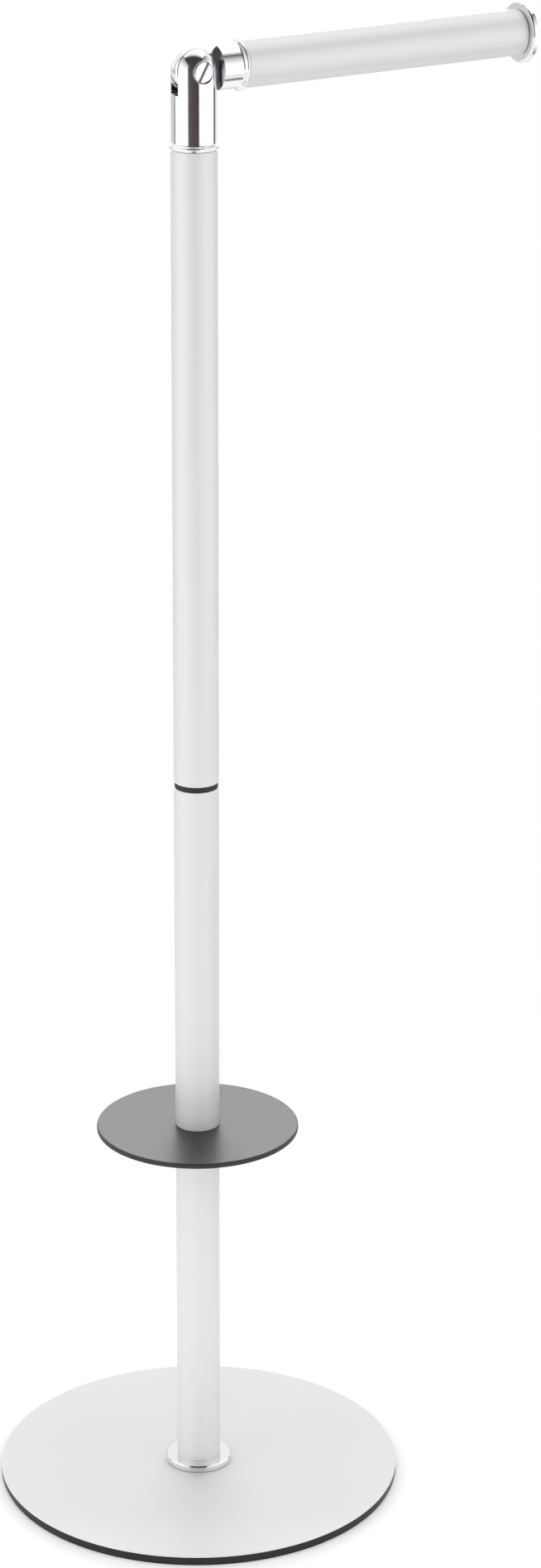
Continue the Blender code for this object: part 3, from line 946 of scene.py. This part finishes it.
@dataclass
class Knuckle(Assembly):
    """What the fork and the tongue share: a round end, slotted or flattened, with a bore across it.

    Both are drawn about the hinge, with the pivot along Y and their own end away from the round
    one towards -Z. For the fork -Z is down, and for the tongue it points along the arm.
    """

    radius: float = 0.01065
    chord_steps: int = 30
    arc_steps: int = 60
    leg_steps: int = 12
    side_steps: int = 16
    shank_rows: int = 12
    edge: float = 0.00022  # of the bevel along every edge
    collar: Collar = Collar(math.radians(54), 0.00145)
    hole_edge: float = 0.0002  # fillet of a blind hole's floor and of a shaft's ends
    thread: ScrewThread = ScrewThread()

    def rim(self, half: float) -> tuple[Array, Array, Array]:
        """The rim of the round shank, divided where the planes y = -half and y = half cut it.

        Args:
            half: distance of the two planes from the axis.

        Returns:
            Places across the chord, places across the side, and the rim's directions in order.
        """
        reach = math.sqrt(self.radius**2 - half**2)
        lean = math.asin(half / self.radius)
        across = self.radius * np.sin(np.linspace(-1.0, 1.0, self.chord_steps + 1) * (math.pi / 2 - lean))
        beside = self.radius * np.sin(np.linspace(-1.0, 1.0, self.side_steps + 1) * lean)
        across[0], across[-1], beside[0], beside[-1] = -reach, reach, -half, half
        front = np.stack([across, -np.sqrt(self.radius**2 - across**2)], axis=-1)
        right = np.stack([np.sqrt(self.radius**2 - beside**2), beside], axis=-1)
        corners = np.concatenate([front[:-1], right[:-1], -front[:-1], -right[:-1]])
        return across, beside, corners / self.radius

    def boundary(self, depth: float, across: Array) -> Array:
        """The arch-shaped edge of a cheek in the plane across the pivot.

        It runs along the bottom, up a leg, round a half circle about the hinge and down the other leg.

        Args:
            depth: how far the bottom lies below the hinge.
            across: places along the bottom, from one leg to the other.

        Returns:
            Points of x and z.
        """
        reach = float(across[-1])
        bottom = np.stack([across, np.full_like(across, -depth)], axis=-1)
        rise = np.linspace(-depth, 0.0, self.leg_steps + 1)[1:]
        leg = np.stack([np.full_like(rise, reach), rise], axis=-1)
        angles = np.linspace(0.0, math.pi, self.arc_steps + 1)[1:]
        arch = reach * np.stack([np.cos(angles), np.sin(angles)], axis=-1)
        other = leg[-2::-1] * np.array([-1.0, 1.0])
        return np.concatenate([bottom, leg, arch, other])

    def shank(self, start: float, face: float, floor: float) -> Array:
        """The round part's outline, over the collar and into the blind hole of its stud.

        Args:
            start: height at which the round part begins.
            face: height of the collar's face.
            floor: height of the hole's floor.

        Returns:
            The outline, with even rows along the straight part.
        """
        hole = self.thread.hole
        inner = [(hole, face, FINE_EDGE), (hole, floor, self.hole_edge), (0.0, floor, 0.0)]
        lower = outline([(self.radius, start, 0.0), *self.collar.corners(face), *inner], False)
        row = np.linspace(lower[0, 1], lower[1, 1], self.shank_rows)[1:-1]
        straight = np.stack([np.full_like(row, self.radius), row], axis=-1)
        return np.concatenate([lower[:1], straight, lower[1:]])

    @staticmethod
    def circle(edge: Array, radius: float) -> Array:
        """Points on a circle about the pivot, in the directions of the edge's points."""
        return edge / np.linalg.norm(edge, axis=-1, keepdims=True) * radius

    @staticmethod
    def upright(flat: Array, across: Any) -> Array:
        """Points x, y, z from points x, z and their distance along Y."""
        return np.stack([flat[..., 0], np.broadcast_to(across, flat.shape[:-1]), flat[..., 1]], axis=-1)

    def finished(self, shell: Shell, name: str, place: Matrix) -> bpy.types.Object:
        """The piece with every sharp edge rounded and its broad faces true.

        Args:
            shell: the piece's surface.
            name: the piece's name.
            place: where the surface goes.

        Returns:
            The piece.
        """
        piece = shell.piece(name, place)
        bevel = piece.modifiers.new("rounded_edges", "BEVEL")
        bevel.limit_method = "ANGLE"
        bevel.angle_limit = SHARP_ANGLE
        bevel.width = self.edge
        bevel.segments = BEVEL_SEGMENTS
        bevel.miter_outer = "MITER_ARC"
        bevel.use_clamp_overlap = True
        return piece


@dataclass
class Fork(Knuckle):
    """The chrome fork on the pole, its slotted pivot screw and the nut behind."""

    half_slot: float = 0.0033
    slot_depth: float = 0.01085  # from the hinge axis to the slot's floor
    cheek_rows: int = 22
    wall_rows: int = 7
    counterbore: float = 0.0051
    counterbore_floor: float = 0.0074
    screw_hole: float = 0.0026
    nut_hole: float = 0.00385
    stud_hole_depth: float = 0.0125
    head_radius: float = 0.0048
    head_edge: float = 0.00025
    head_thickness: float = 0.0022
    head_face: float = 0.0098  # from the pole's axis
    head_steps: int = 40  # across the head
    land_rows: int = 5
    shaft: float = 0.0025
    shaft_edge: float = 0.0003
    nut_barrel: float = 0.0037
    nut_barrel_end: float = 0.0048
    nut_bore: float = 0.00265
    slot_width: float = 0.0014
    slot_cut: float = 0.0010
    slot_steps: int = 6
    turns: int = 96

    def cheek(self, side: int, hole: float, edge: Array) -> Array:
        """One cheek as a single band of rows round the pivot.

        The rows go from the arch-shaped edge inwards over the round surface to the counterbore, down
        it, through the hole and back over the slot's wall to the same edge. The round surface is a
        ball about the hinge and a cylinder below it: y = sqrt(R^2 - x^2 - max(z, 0)^2).

        Args:
            side: -1 for the front cheek and 1 for the rear one.
            hole: radius of the hole through it.
            edge: the cheek's edge in the plane across the pivot.

        Returns:
            The grid's points.
        """
        lean = math.asin(self.half_slot / self.radius)
        reach = self.radius * math.cos(lean)
        leans = np.linspace(lean, math.acos(self.counterbore / self.radius), self.cheek_rows)
        shares = (self.radius * np.cos(leans) - self.counterbore) / (reach - self.counterbore)
        rim = self.circle(edge, self.counterbore)
        bore = self.circle(edge, hole)
        rounded = rim + shares[:, None, None] * (edge - rim)
        rest = self.radius**2 - rounded[..., 0] ** 2 - np.maximum(rounded[..., 1], 0.0) ** 2
        floor = self.upright(np.stack([rim, bore]), side * self.counterbore_floor)
        wall = bore + np.linspace(0.0, 1.0, self.wall_rows)[:, None, None] * (edge - bore)
        rounded = self.upright(rounded, side * np.sqrt(np.maximum(rest, 0.0)))
        return np.concatenate([rounded, floor, self.upright(wall, side * self.half_slot)])

    def fork(self) -> bpy.types.Object:
        """The fork: two cheeks on a round shank with a collar, and a blind hole for its stud.

        The slot's floor runs from one cheek to the other, with x = share x sqrt(R^2 - y^2).

        Returns:
            The fork.
        """
        across, beside, directions = self.rim(self.half_slot)
        edge = self.boundary(self.slot_depth, across)
        shell = Shell().band(self.cheek(-1, self.screw_hole, edge)).band(self.cheek(1, self.nut_hole, edge))
        floor_x = np.sqrt(self.radius**2 - beside**2)[:, None] * (across / across[-1])
        floor_y = np.broadcast_to(beside[:, None], floor_x.shape)
        shell.grid(np.stack([floor_x, floor_y, np.full_like(floor_x, -self.slot_depth)], axis=-1))
        face = extent("knuckle_fork")[1] - HINGE.z
        shell.band(turn_by(self.shank(-self.slot_depth, face, face + self.stud_hole_depth), directions))
        return self.finished(shell, "chrome_fork", Matrix.Translation(HINGE))

    def land(self, side: int, shares: Array) -> Array:
        """One half of the screw's head above the slot's floor, in the head's own frame.

        Its rows go up the slot's wall and over the face and the rim to the side. A point at share s of
        a row of radius r lies at y = s x reach(r), where reach(r) is where the slot meets that radius,
        and its x is the slot's wall, or sqrt(r^2 - y^2) on the round side.

        Args:
            side: -1 or 1, of the slot.
            shares: of the points in each row, from -1 to 1.

        Returns:
            The grid's points.
        """
        half = self.slot_width / 2

        def row(radius: float, height: float, on_round_side: bool) -> Array:
            """A row of points along the slot's wall or the round side.

            Args:
                radius: of the circle that the row's two ends lie on.
                height: over the head's face.
                on_round_side: whether it follows that circle, and not the slot's wall.

            Returns:
                The row's points.
            """
            y = shares * math.sqrt(radius**2 - half**2)
            x = np.sqrt(radius**2 - y**2) if on_round_side else np.full_like(y, half)
            return np.stack([side * x, y, np.full_like(y, height)], axis=-1)

        outer, inner = self.head_radius, self.head_radius - self.head_edge
        start, end = row(inner, 0.0, False), row(inner, 0.0, True)
        face = [start + share * (end - start) for share in np.linspace(0.0, 1.0, self.land_rows)]
        wall, rim = (
            [row(outer, height, on_round_side) for height in (-self.slot_cut, -self.head_edge)]
            for on_round_side in (False, True)
        )
        return np.stack(wall + face + rim[::-1])

    def screw(self) -> bpy.types.Object:
        """The pivot screw: a slotted head with a chamfered rim on a plain shaft.

        The slot's floor has y = share x sqrt(R^2 - x^2), and what lies below it is an outline carried
        round the head.

        Returns:
            The screw.
        """
        radius, half = self.head_radius, self.slot_width / 2
        shares = np.sin(np.linspace(-1.0, 1.0, self.head_steps + 1) * math.pi / 2)
        beside = np.linspace(-half, half, self.slot_steps + 1)
        shell = Shell().grid(self.land(-1, shares)).grid(self.land(1, shares))
        floor_y = np.sqrt(radius**2 - beside**2)[:, None] * shares
        floor_x = np.broadcast_to(beside[:, None], floor_y.shape)
        shell.grid(np.stack([floor_x, floor_y, np.full_like(floor_y, -self.slot_cut)], axis=-1))
        y = shares * math.sqrt(radius**2 - half**2)
        right = np.stack([np.sqrt(radius**2 - y**2), y], axis=-1)
        top = np.stack([-beside, np.sqrt(radius**2 - beside**2)], axis=-1)
        directions = np.concatenate([right[:-1], top[:-1], -right[:-1], -top[:-1]]) / radius
        seat, end = -self.head_thickness, self.head_thickness - 2 * self.head_face
        corners = [
            (radius, -self.slot_cut, 0.0),
            (radius, seat, FINE_EDGE),
            (self.shaft, seat, self.hole_edge),
            (self.shaft, end, self.shaft_edge),
            (0.0, end, 0.0),
        ]
        shell.band(turn_by(outline(corners, False), directions))
        face = Matrix.Translation(HINGE - Vector((0.0, self.head_face, 0.0)))
        return shell.piece("slotted_screw", face @ FACING_FRONT @ Matrix.Rotation(-SCREW_LEAN, 4, "Z"))

    def nut(self) -> bpy.types.Object:
        """The round nut: a flanged head behind the rear cheek and a barrel through it.

        Returns:
            The nut.
        """
        seat = self.head_thickness - self.head_face
        corners = [
            (self.nut_bore, -self.nut_barrel_end, FINE_EDGE),
            (self.nut_barrel, -self.nut_barrel_end, self.hole_edge),
            (self.nut_barrel, seat, FINE_EDGE),
            (self.head_radius, seat, FINE_EDGE),
            (self.head_radius, -self.head_face, self.head_edge),
            (self.nut_bore, -self.head_face, self.hole_edge),
        ]
        place = Matrix.Translation(HINGE) @ FACING_FRONT
        return lathe("barrel_nut", outline(corners, True), self.turns, place)

    def pieces(self) -> Iterator[tuple[bpy.types.Object, Finish, str]]:
        """The fork, its screw and its nut.

        Returns:
            Each piece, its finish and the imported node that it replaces.
        """
        yield self.fork(), CHROME, "knuckle_fork"
        yield self.screw(), SLOTTED_CHROME, "pivot_screw"
        yield self.nut(), CHROME, "pivot_nut"


@dataclass
class Arm(Knuckle):
    """The tongue with its washers, the arm's tube and the flanged end, on the hinge axis.

    Places along the arm are measured from the hinge axis.
    """

    body: ClassVar[Body] = Body.ARM

    tilt: float = math.radians(1.35)
    half_tongue: float = 0.0030
    tongue_rows: int = 6
    shank_rows: int = 8
    shoulder: float = 0.0108
    tongue_end: float = 0.0239
    collar: Collar = Collar(math.radians(46), 0.00133)
    spot_face: float = 0.00665
    spot_face_plane: float = 0.0022
    pivot_hole: float = 0.0026
    stud_hole_floor: float = 0.0139
    stud_start: float = 0.0144
    tube_start: float = 0.0241
    tube_length: float = 0.1513
    tube_radius: float = 0.0110
    tube_wall: float = 0.0010
    tube_edge: float = 0.00025
    insert_length: float = 0.0150
    insert_radius: float = 0.00985
    bush_edge: float = 0.0004
    stud_reach: float = 0.0120
    cap_gap: float = 0.0002
    cap_radius: float = 0.0147
    cap_thickness: float = 0.0033
    cap_edge: float = 0.0006
    cap_near_edge: float = 0.0011  # of the flange's side that faces the tube
    spigot: float = 0.0060
    spigot_length: float = 0.0120
    spigot_edge: float = 0.0005
    bush_hole: float = 0.00615
    washer: float = 0.0065
    washer_inner: float = 0.0023
    washer_outer: float = 0.0032
    washer_edge: float = 0.00012
    steps: int = 192
    inner_steps: int = 96  # of the bush and the washers

    @property
    def along(self) -> Matrix:
        """The hinge's frame with Z along the arm."""
        return Matrix.Translation(HINGE) @ Matrix.Rotation(math.pi / 2 - self.tilt, 4, "Y")

    @property
    def tube_end(self) -> float:
        """Where the white tube ends."""
        return self.tube_start + self.tube_length

    def tongue(self) -> bpy.types.Object:
        """The tongue: a flat round end, a shoulder and a collar, drawn with -Z along the arm.

        Between its flat faces it is a ball about the hinge and a cylinder below it: a point of the edge,
        as a share of the edge's reach, times sqrt(R^2 - y^2), and below the hinge only its x. The
        shoulder fills what lies between the chord and the arc on each side.

        Returns:
            The tongue.
        """
        across, beside, directions = self.rim(self.half_tongue)
        edge = self.boundary(self.shoulder, across)
        spot, hole = self.circle(edge, self.spot_face), self.circle(edge, self.pivot_hole)
        shares = np.linspace(0.0, 1.0, self.tongue_rows)[:, None, None]
        flat, plane = spot + shares * (edge - spot), self.spot_face_plane
        bore = ((spot, -plane), (hole, -plane), (hole, plane), (spot, plane))
        bore = np.stack([self.upright(points, y) for points, y in bore])
        front, rear = self.upright(flat[::-1], -self.half_tongue), self.upright(flat, self.half_tongue)
        shell = Shell().band(np.concatenate([front, bore, rear]))

        sides = np.concatenate([edge[len(across) - 1:], edge[:1]]) / float(across[-1])
        reach = np.sqrt(self.radius**2 - beside**2)[:, None]
        x = sides[:, 0] * reach
        z = np.where(sides[:, 1] > 0.0, sides[:, 1] * reach, sides[:, 1] * float(across[-1]))
        shell.grid(np.stack([x, np.broadcast_to(beside[:, None], x.shape), z], axis=-1))

        for side in (-1.0, 1.0):
            chord = np.stack([across, np.full_like(across, side * self.half_tongue)], axis=-1)
            arc = np.stack([across, side * np.sqrt(self.radius**2 - across**2)], axis=-1)
            flat = chord + shares * (arc - chord)
            shell.grid(np.concatenate([flat, np.full((*flat.shape[:2], 1), -self.shoulder)], axis=-1))
        shank = self.shank(-self.shoulder, -self.tongue_end, -self.stud_hole_floor)
        shell.band(turn_by(shank, directions))
        return self.finished(shell, "chrome_tongue", self.along @ Matrix.Rotation(math.pi, 4, "Y"))

    def cap(self) -> bpy.types.Object:
        """The chrome end: a flange with softened edges on a spigot.

        Returns:
            The cap.
        """
        start = self.tube_end + self.cap_gap
        end = start + self.cap_thickness
        corners = [
            (0.0, end, 0.0),
            (self.cap_radius, end, self.cap_edge),
            (self.cap_radius, start, self.cap_near_edge),
            (self.spigot, start, FINE_EDGE),
            (self.spigot, start - self.spigot_length, self.spigot_edge),
            (0.0, start - self.spigot_length, 0.0),
        ]
        return lathe("flanged_cap", outline(corners, False), self.steps, self.along)

    def tube(self) -> bpy.types.Object:
        """The arm's white tube.

        Returns:
            The tube.
        """
        bore, fillets = self.tube_radius - self.tube_wall, (self.tube_edge,) * 4
        profile = ring_outline(bore, self.tube_radius, self.tube_start, self.tube_end, fillets)
        return lathe("arm_sleeve", profile, self.steps, self.along)

    def bush(self) -> bpy.types.Object:
        """The nylon bush that holds the cap's spigot.

        Returns:
            The bush.
        """
        start, fillets = self.tube_end - self.insert_length, (self.bush_edge,) * 4
        profile = ring_outline(self.bush_hole, self.insert_radius, start, self.tube_end, fillets)
        return lathe("nylon_bush", profile, self.inner_steps, self.along)

    def washer_piece(self, side: int, name: str) -> bpy.types.Object:
        """A friction washer beside the tongue.

        Args:
            side: -1 for the one in front of it and 1 for the one behind it.
            name: the piece's name.

        Returns:
            The washer.
        """
        near, far = sorted((side * self.washer_inner, side * self.washer_outer))
        profile = ring_outline(self.pivot_hole, self.washer, near, far, (self.washer_edge,) * 4)
        return lathe(name, profile, self.inner_steps, Matrix.Translation(HINGE) @ FACING_REAR)

    def pieces(self) -> Iterator[tuple[bpy.types.Object, Finish, str]]:
        """The tongue, the tube and the cap, and the pieces that they hide.

        Returns:
            Each piece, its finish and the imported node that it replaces.
        """
        yield self.tongue(), CHROME, "knuckle_tongue"
        yield self.tube(), WHITE_ENAMEL, "arm_tube"
        yield self.cap(), CHROME, "end_cap"
        yield self.bush(), WHITE_NYLON, "end_bush"
        for side, node in ((-1, "friction_washer_front"), (1, "friction_washer_rear")):
            yield self.washer_piece(side, f"{node}_ring"), WHITE_NYLON, node
        size = (self.insert_radius, self.tube_start, self.tube_start + self.insert_length)
        yield self.thread.insert_piece("arm_insert_knurled", *size, self.along), ZINC_STEEL, "arm_insert"
        ends = (self.stud_start, self.tube_start + self.stud_reach)
        yield self.thread.stud_piece("arm_stud_threaded", *ends, self.along), ZINC_STEEL, "arm_stud"


@dataclass
class Viewpoint:
    """The camera, placed so that the holder fills the frame as it does in the picture."""

    place: tuple[float, float, float] = (-0.89386, -1.67133, 1.03640)
    bearing: float = math.radians(29.23)  # of the line of sight, from +Y towards +X
    pitch: float = math.radians(19.29)  # down
    roll: float = math.radians(0.150)
    lens: float = 94.75
    sensor: float = 36.0  # along the long side of the frame
    reach: tuple[float, float] = (0.05, 50.0)  # the nearest and farthest that it sees

    def build(self) -> None:
        """Make the camera and let the scene use it."""
        data = bpy.data.cameras.new("viewpoint")
        data.lens = self.lens
        data.sensor_width = self.sensor
        data.clip_start, data.clip_end = self.reach
        camera = bpy.data.objects.new("viewpoint", data)
        bpy.context.scene.collection.objects.link(camera)
        camera.matrix_world = (
            Matrix.Translation(self.place)
            @ Matrix.Rotation(-self.bearing, 4, "Z")
            @ Matrix.Rotation(math.pi / 2 - self.pitch, 4, "X")
            @ Matrix.Rotation(self.roll, 4, "Z")
        )
        bpy.context.scene.camera = camera
        LOG.info("camera at %s", self.place)


@dataclass(frozen=True)
class Panel:
    """A flat panel of the light tent, seen only in reflections.

    Its two corners are given from the pole's foot as: towards the viewer, to the viewer's right, up.
    One of the three is the same for both corners. Its tone runs from the near one to the far one
    along one of these three ways, from the start to the end of the fade.
    """

    name: str
    low: tuple[float, float, float]
    high: tuple[float, float, float]
    colour: Colour
    near_tone: float
    far_tone: float
    fade_axis: int = 2
    fade_start: float = 0.0
    fade_end: float = 1.0

    def build(self, directions: tuple[Vector, Vector, Vector]) -> None:
        """Make the panel from a grid of points, low + u x side one + v x side two.

        Args:
            directions: towards the viewer, to the viewer's right, and up.
        """
        low = np.array(self.low)
        span = np.array(self.high) - low
        first, second = np.diag(span)[span != 0.0]
        steps = np.linspace(0.0, 1.0, 3)
        local = low + steps[None, :, None] * first + steps[:, None, None] * second
        panel = Shell().grid(local @ np.array(directions)).piece(self.name)
        panel.data.materials.append(self.material(directions[self.fade_axis]))
        panel.visible_camera = False
        panel.visible_diffuse = False
        panel.visible_shadow = False

    def material(self, along: Vector) -> bpy.types.Material:
        """A glow whose strength fades along one direction.

        Args:
            along: the direction.

        Returns:
            The material.
        """
        material, recipe = new_material(self.name)
        material.cycles.emission_sampling = "NONE"  # it is reflected, and lights nothing else
        share = recipe.share(recipe.along(recipe.place(), along), self.fade_start, self.fade_end)
        strongest = max(self.near_tone, self.far_tone)
        colour = np.array(self.colour) / strongest
        tone = recipe.blend(share, tuple(colour * self.near_tone), tuple(colour * self.far_tone))
        recipe.finish(recipe.glow(tone, strongest))
        return material


@dataclass(frozen=True)
class Lamp:
    """A soft square lamp, placed round the pole from the viewer's own bearing."""

    name: str
    bearing: float  # degrees to the viewer's right
    distance: float
    height: float
    width: float
    tall: float
    radiance: float
    colour: Colour = WHITE

    def build(self, directions: tuple[Vector, Vector, Vector], target: Vector) -> None:
        """Make the lamp and point it at the target. Its power is radiance x pi x area.

        Args:
            directions: towards the viewer, to the viewer's right, and up.
            target: the place that it points at.
        """
        front, right, up = directions
        angle = math.radians(self.bearing)
        place = (front * math.cos(angle) + right * math.sin(angle)) * self.distance + up * self.height
        data = bpy.data.lights.new(self.name, "AREA")
        data.shape = "RECTANGLE"
        data.size, data.size_y = self.width, self.tall
        data.energy = self.radiance * math.pi * self.width * self.tall
        data.color = self.colour
        lamp = bpy.data.objects.new(self.name, data)
        bpy.context.scene.collection.objects.link(lamp)
        lamp.location = place
        lamp.rotation_euler = (target - place).to_track_quat("-Z", "Y").to_euler()
        lamp.visible_camera = False
        lamp.visible_glossy = False


@dataclass
class Studio:
    """The pale floor, the plain lamps and the light tent that the chrome reflects."""

    floor_radius: float = 3.0
    floor_steps: int = 96
    floor_colour: Colour = (0.84, 0.84, 0.84)
    floor_lift: float = 0.23
    floor_fade: tuple[float, float] = (0.22, 0.75)  # from the pole, where the floor turns to plain white
    floor_plain: float = 0.42  # the far floor's light on the holder
    ambient: float = 0.71
    background: float = 1.0
    target: float = 0.4  # height at which the lamps point
    tent_side: float = 1.02
    tent_top: float = 2.02
    tent_seam: float = 0.10  # between the walls and the ceiling
    ceiling_front: float = 0.253
    room: float = 2.6  # from the pole to the dark room's front and sides
    room_top: float = 4.6
    room_foot: float = -0.2
    inset: float = 0.02  # of the strips in front of the room's walls
    low_line: float = 0.004  # height of the tones that the arm's underside reflects
    dark: Colour = (0.060, 0.052, 0.055)
    brown: Colour = (0.095, 0.068, 0.075)
    cool: Colour = (0.97, 0.98, 1.0)
    lilac: Colour = (0.92, 0.90, 1.0)
    warm: Colour = (1.0, 0.985, 0.985)

    def directions(self) -> tuple[Vector, Vector, Vector]:
        """The three ways that places in the studio are measured.

        Returns:
            Towards the viewer, to the viewer's right, and up.
        """
        bearing = Viewpoint().bearing
        front = Vector((-math.sin(bearing), -math.cos(bearing), 0.0))
        right = Vector((math.cos(bearing), -math.sin(bearing), 0.0))
        return front, right, Vector((0.0, 0.0, 1.0))

    @staticmethod
    def seen(recipe: Recipe, plain: float, bright: float) -> Wire:
        """The bright strength for camera and mirror rays, and the plain one for the rest.

        Args:
            recipe: the node tree.
            plain: the strength that lights the holder.
            bright: the strength that is seen.

        Returns:
            The strength for every ray.
        """
        path = recipe.node("ShaderNodeLightPath", {}, {}, "Is Camera Ray")
        outputs = path.socket.node.outputs
        for name in ("Is Glossy Ray", "Is Transmission Ray"):
            path = path + Wire(recipe, outputs[name])
        return plain + path * (bright - plain)

    def floor(self) -> None:
        """A pale round floor that keeps the holder's shadow, level with the pad's lower face."""
        level = extent("base_pad")[1]
        profile = np.array([[0.0, level], [self.floor_radius, level]])
        floor = lathe("pale_floor", profile, self.floor_steps)
        material, recipe = new_material("pale_floor")
        matt = recipe.node("ShaderNodeBsdfDiffuse", {}, {"Color": self.floor_colour})
        lift = recipe.glow(WHITE, self.seen(recipe, 0.0, self.floor_lift))
        near = recipe.node("ShaderNodeAddShader", {}, {0: matt, 1: lift})
        far = recipe.glow(WHITE, self.seen(recipe, self.floor_plain, self.background))
        settings = {"operation": "LENGTH"}
        distance = recipe.node("ShaderNodeVectorMath", settings, {0: recipe.place()}, "Value")
        share = recipe.share(distance, *self.floor_fade, "SMOOTHSTEP")
        recipe.finish(recipe.node("ShaderNodeMixShader", {}, {0: share, 1: near, 2: far}))
        floor.data.materials.append(material)

    def world(self) -> None:
        """A plain white surround, seen at full strength and lighting at the ambient one."""
        world = bpy.data.worlds.new("white_surround")
        world.use_nodes = True
        recipe = Recipe(world.node_tree)
        inputs = {"Color": WHITE, "Strength": self.seen(recipe, self.ambient, self.background)}
        recipe.finish(recipe.node("ShaderNodeBackground", {}, inputs), "ShaderNodeOutputWorld")
        bpy.context.scene.world = world

    def tent(self) -> list[Panel]:
        """The bright walls, ceiling and screens, and the tones low down for the arm's underside.

        Returns:
            The panels.
        """
        side, top, low = self.tent_side, self.tent_top, self.low_line
        eaves, front = top - self.tent_seam, self.ceiling_front
        return [
            Panel("left_wall", (-0.29, -side, 0.0), (1.92, -side, eaves), WHITE, 1.22, 0.30, 2, 1.0, top),
            Panel("right_wall", (-0.54, side, 0.0), (1.95, side, eaves), self.cool, 1.22, 0.20, 2, 1.0, 1.95),
            Panel("ceiling", (-2.6, -side, top), (front, side, top), WHITE, 1.2, 0.32, 0, -0.1, front),
            Panel("back_wall", (-2.5, -2.55, 0.0), (-2.5, 0.91, 0.45), WHITE, 0.70, 0.70),
            Panel("back_side_wall", (-2.5, -2.55, 0.0), (-1.14, -2.55, 0.45), WHITE, 0.70, 0.70),
            Panel("back_screen", (-0.79, -0.9, 0.0), (-0.79, 0.9, 0.40), WHITE, 0.75, 0.75),
            Panel("back_glow", (-2.5, -1.5, 0.80), (-2.5, 1.5, 1.20), self.warm, 15.0, 15.0),
            Panel("cap_line", (-0.30, 0.52, low), (0.20, 0.58, low), self.dark, 1.0, 1.0),
            Panel("cap_fade", (-0.30, 0.58, low), (0.20, 0.90, low), self.lilac, 0.30, 1.1, 1, 0.58, 0.90),
            Panel("shank_line", (0.33, 0.93, low), (0.80, 0.975, low), WHITE, 0.35, 0.35),
        ]

    def dark_room(self) -> list[Panel]:
        """The dark room in front of the tent, with the strips that stand before its far wall.

        Returns:
            The panels.
        """
        far, top, foot = self.room, self.room_top, self.room_foot
        strips = (
            ("dark_edge", -1.42, -1.22, self.dark, 0.35),
            ("brown_front", -1.22, -0.22, self.brown, 1.0),
            ("darkest_front", 0.78, 1.25, self.dark, 0.4),
        )
        walls = (
            ("dark_front", (far, -far, foot), (far, far, top), 1.0),
            ("left_seam", (-1.14, -far, foot), (-0.9, -far, 0.7), 0.8),
            ("dark_left", (-0.9, -far, foot), (far, -far, top), 1.0),
            ("dark_right", (-0.6, far, foot), (far, far, top), 1.0),
            ("dark_gap", (-far, far, foot), (-0.6, far, 0.7), 1.0),
            ("dark_top", (0.2, -far, top), (far, far, top), 1.0),
        )
        near = far - self.inset
        return [Panel(name, low, high, self.dark, tone, tone) for name, low, high, tone in walls] + [
            Panel(name, (near, left, foot), (near, right, far), colour, tone, tone)
            for name, left, right, colour, tone in strips
        ]

    def lamps(self) -> list[Lamp]:
        """The lamps outside the tent's walls and the one behind the holder.

        Returns:
            The lamps.
        """
        return [
            Lamp("left_lamp", -62.0, 2.0, 0.6, 1.2, 1.6, 1.41),
            Lamp("right_lamp", 68.0, 2.0, 0.6, 1.2, 1.6, 1.02, self.cool),
            Lamp("front_lamp", -4.0, 2.2, 0.65, 1.2, 1.1, 1.24),
            Lamp("low_lamp", -12.0, 1.1, 0.09, 0.6, 0.14, 6.2),
            Lamp("top_lamp", 180.0, 0.3, 2.4, 1.6, 1.6, 0.88),
            Lamp("back_lamp", 180.0, 2.5, 1.0, 3.0, 0.4, 7.6),
        ]

    def build(self) -> None:
        """Make the studio."""
        directions = self.directions()
        self.floor()
        self.world()
        for panel in self.tent() + self.dark_room():
            panel.build(directions)
        for lamp in self.lamps():
            lamp.build(directions, Vector((0.0, 0.0, self.target)))
        bpy.context.scene.view_settings.view_transform = "Standard"


def main() -> None:
    """Build the holder and its studio."""
    logging.basicConfig(level=logging.INFO, format="%(message)s")
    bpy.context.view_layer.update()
    Viewpoint().build()
    for part in (Base(), Pole(), Fork(), Arm()):
        part.build()
    Studio().build()


if __name__ == "__main__":
    main()
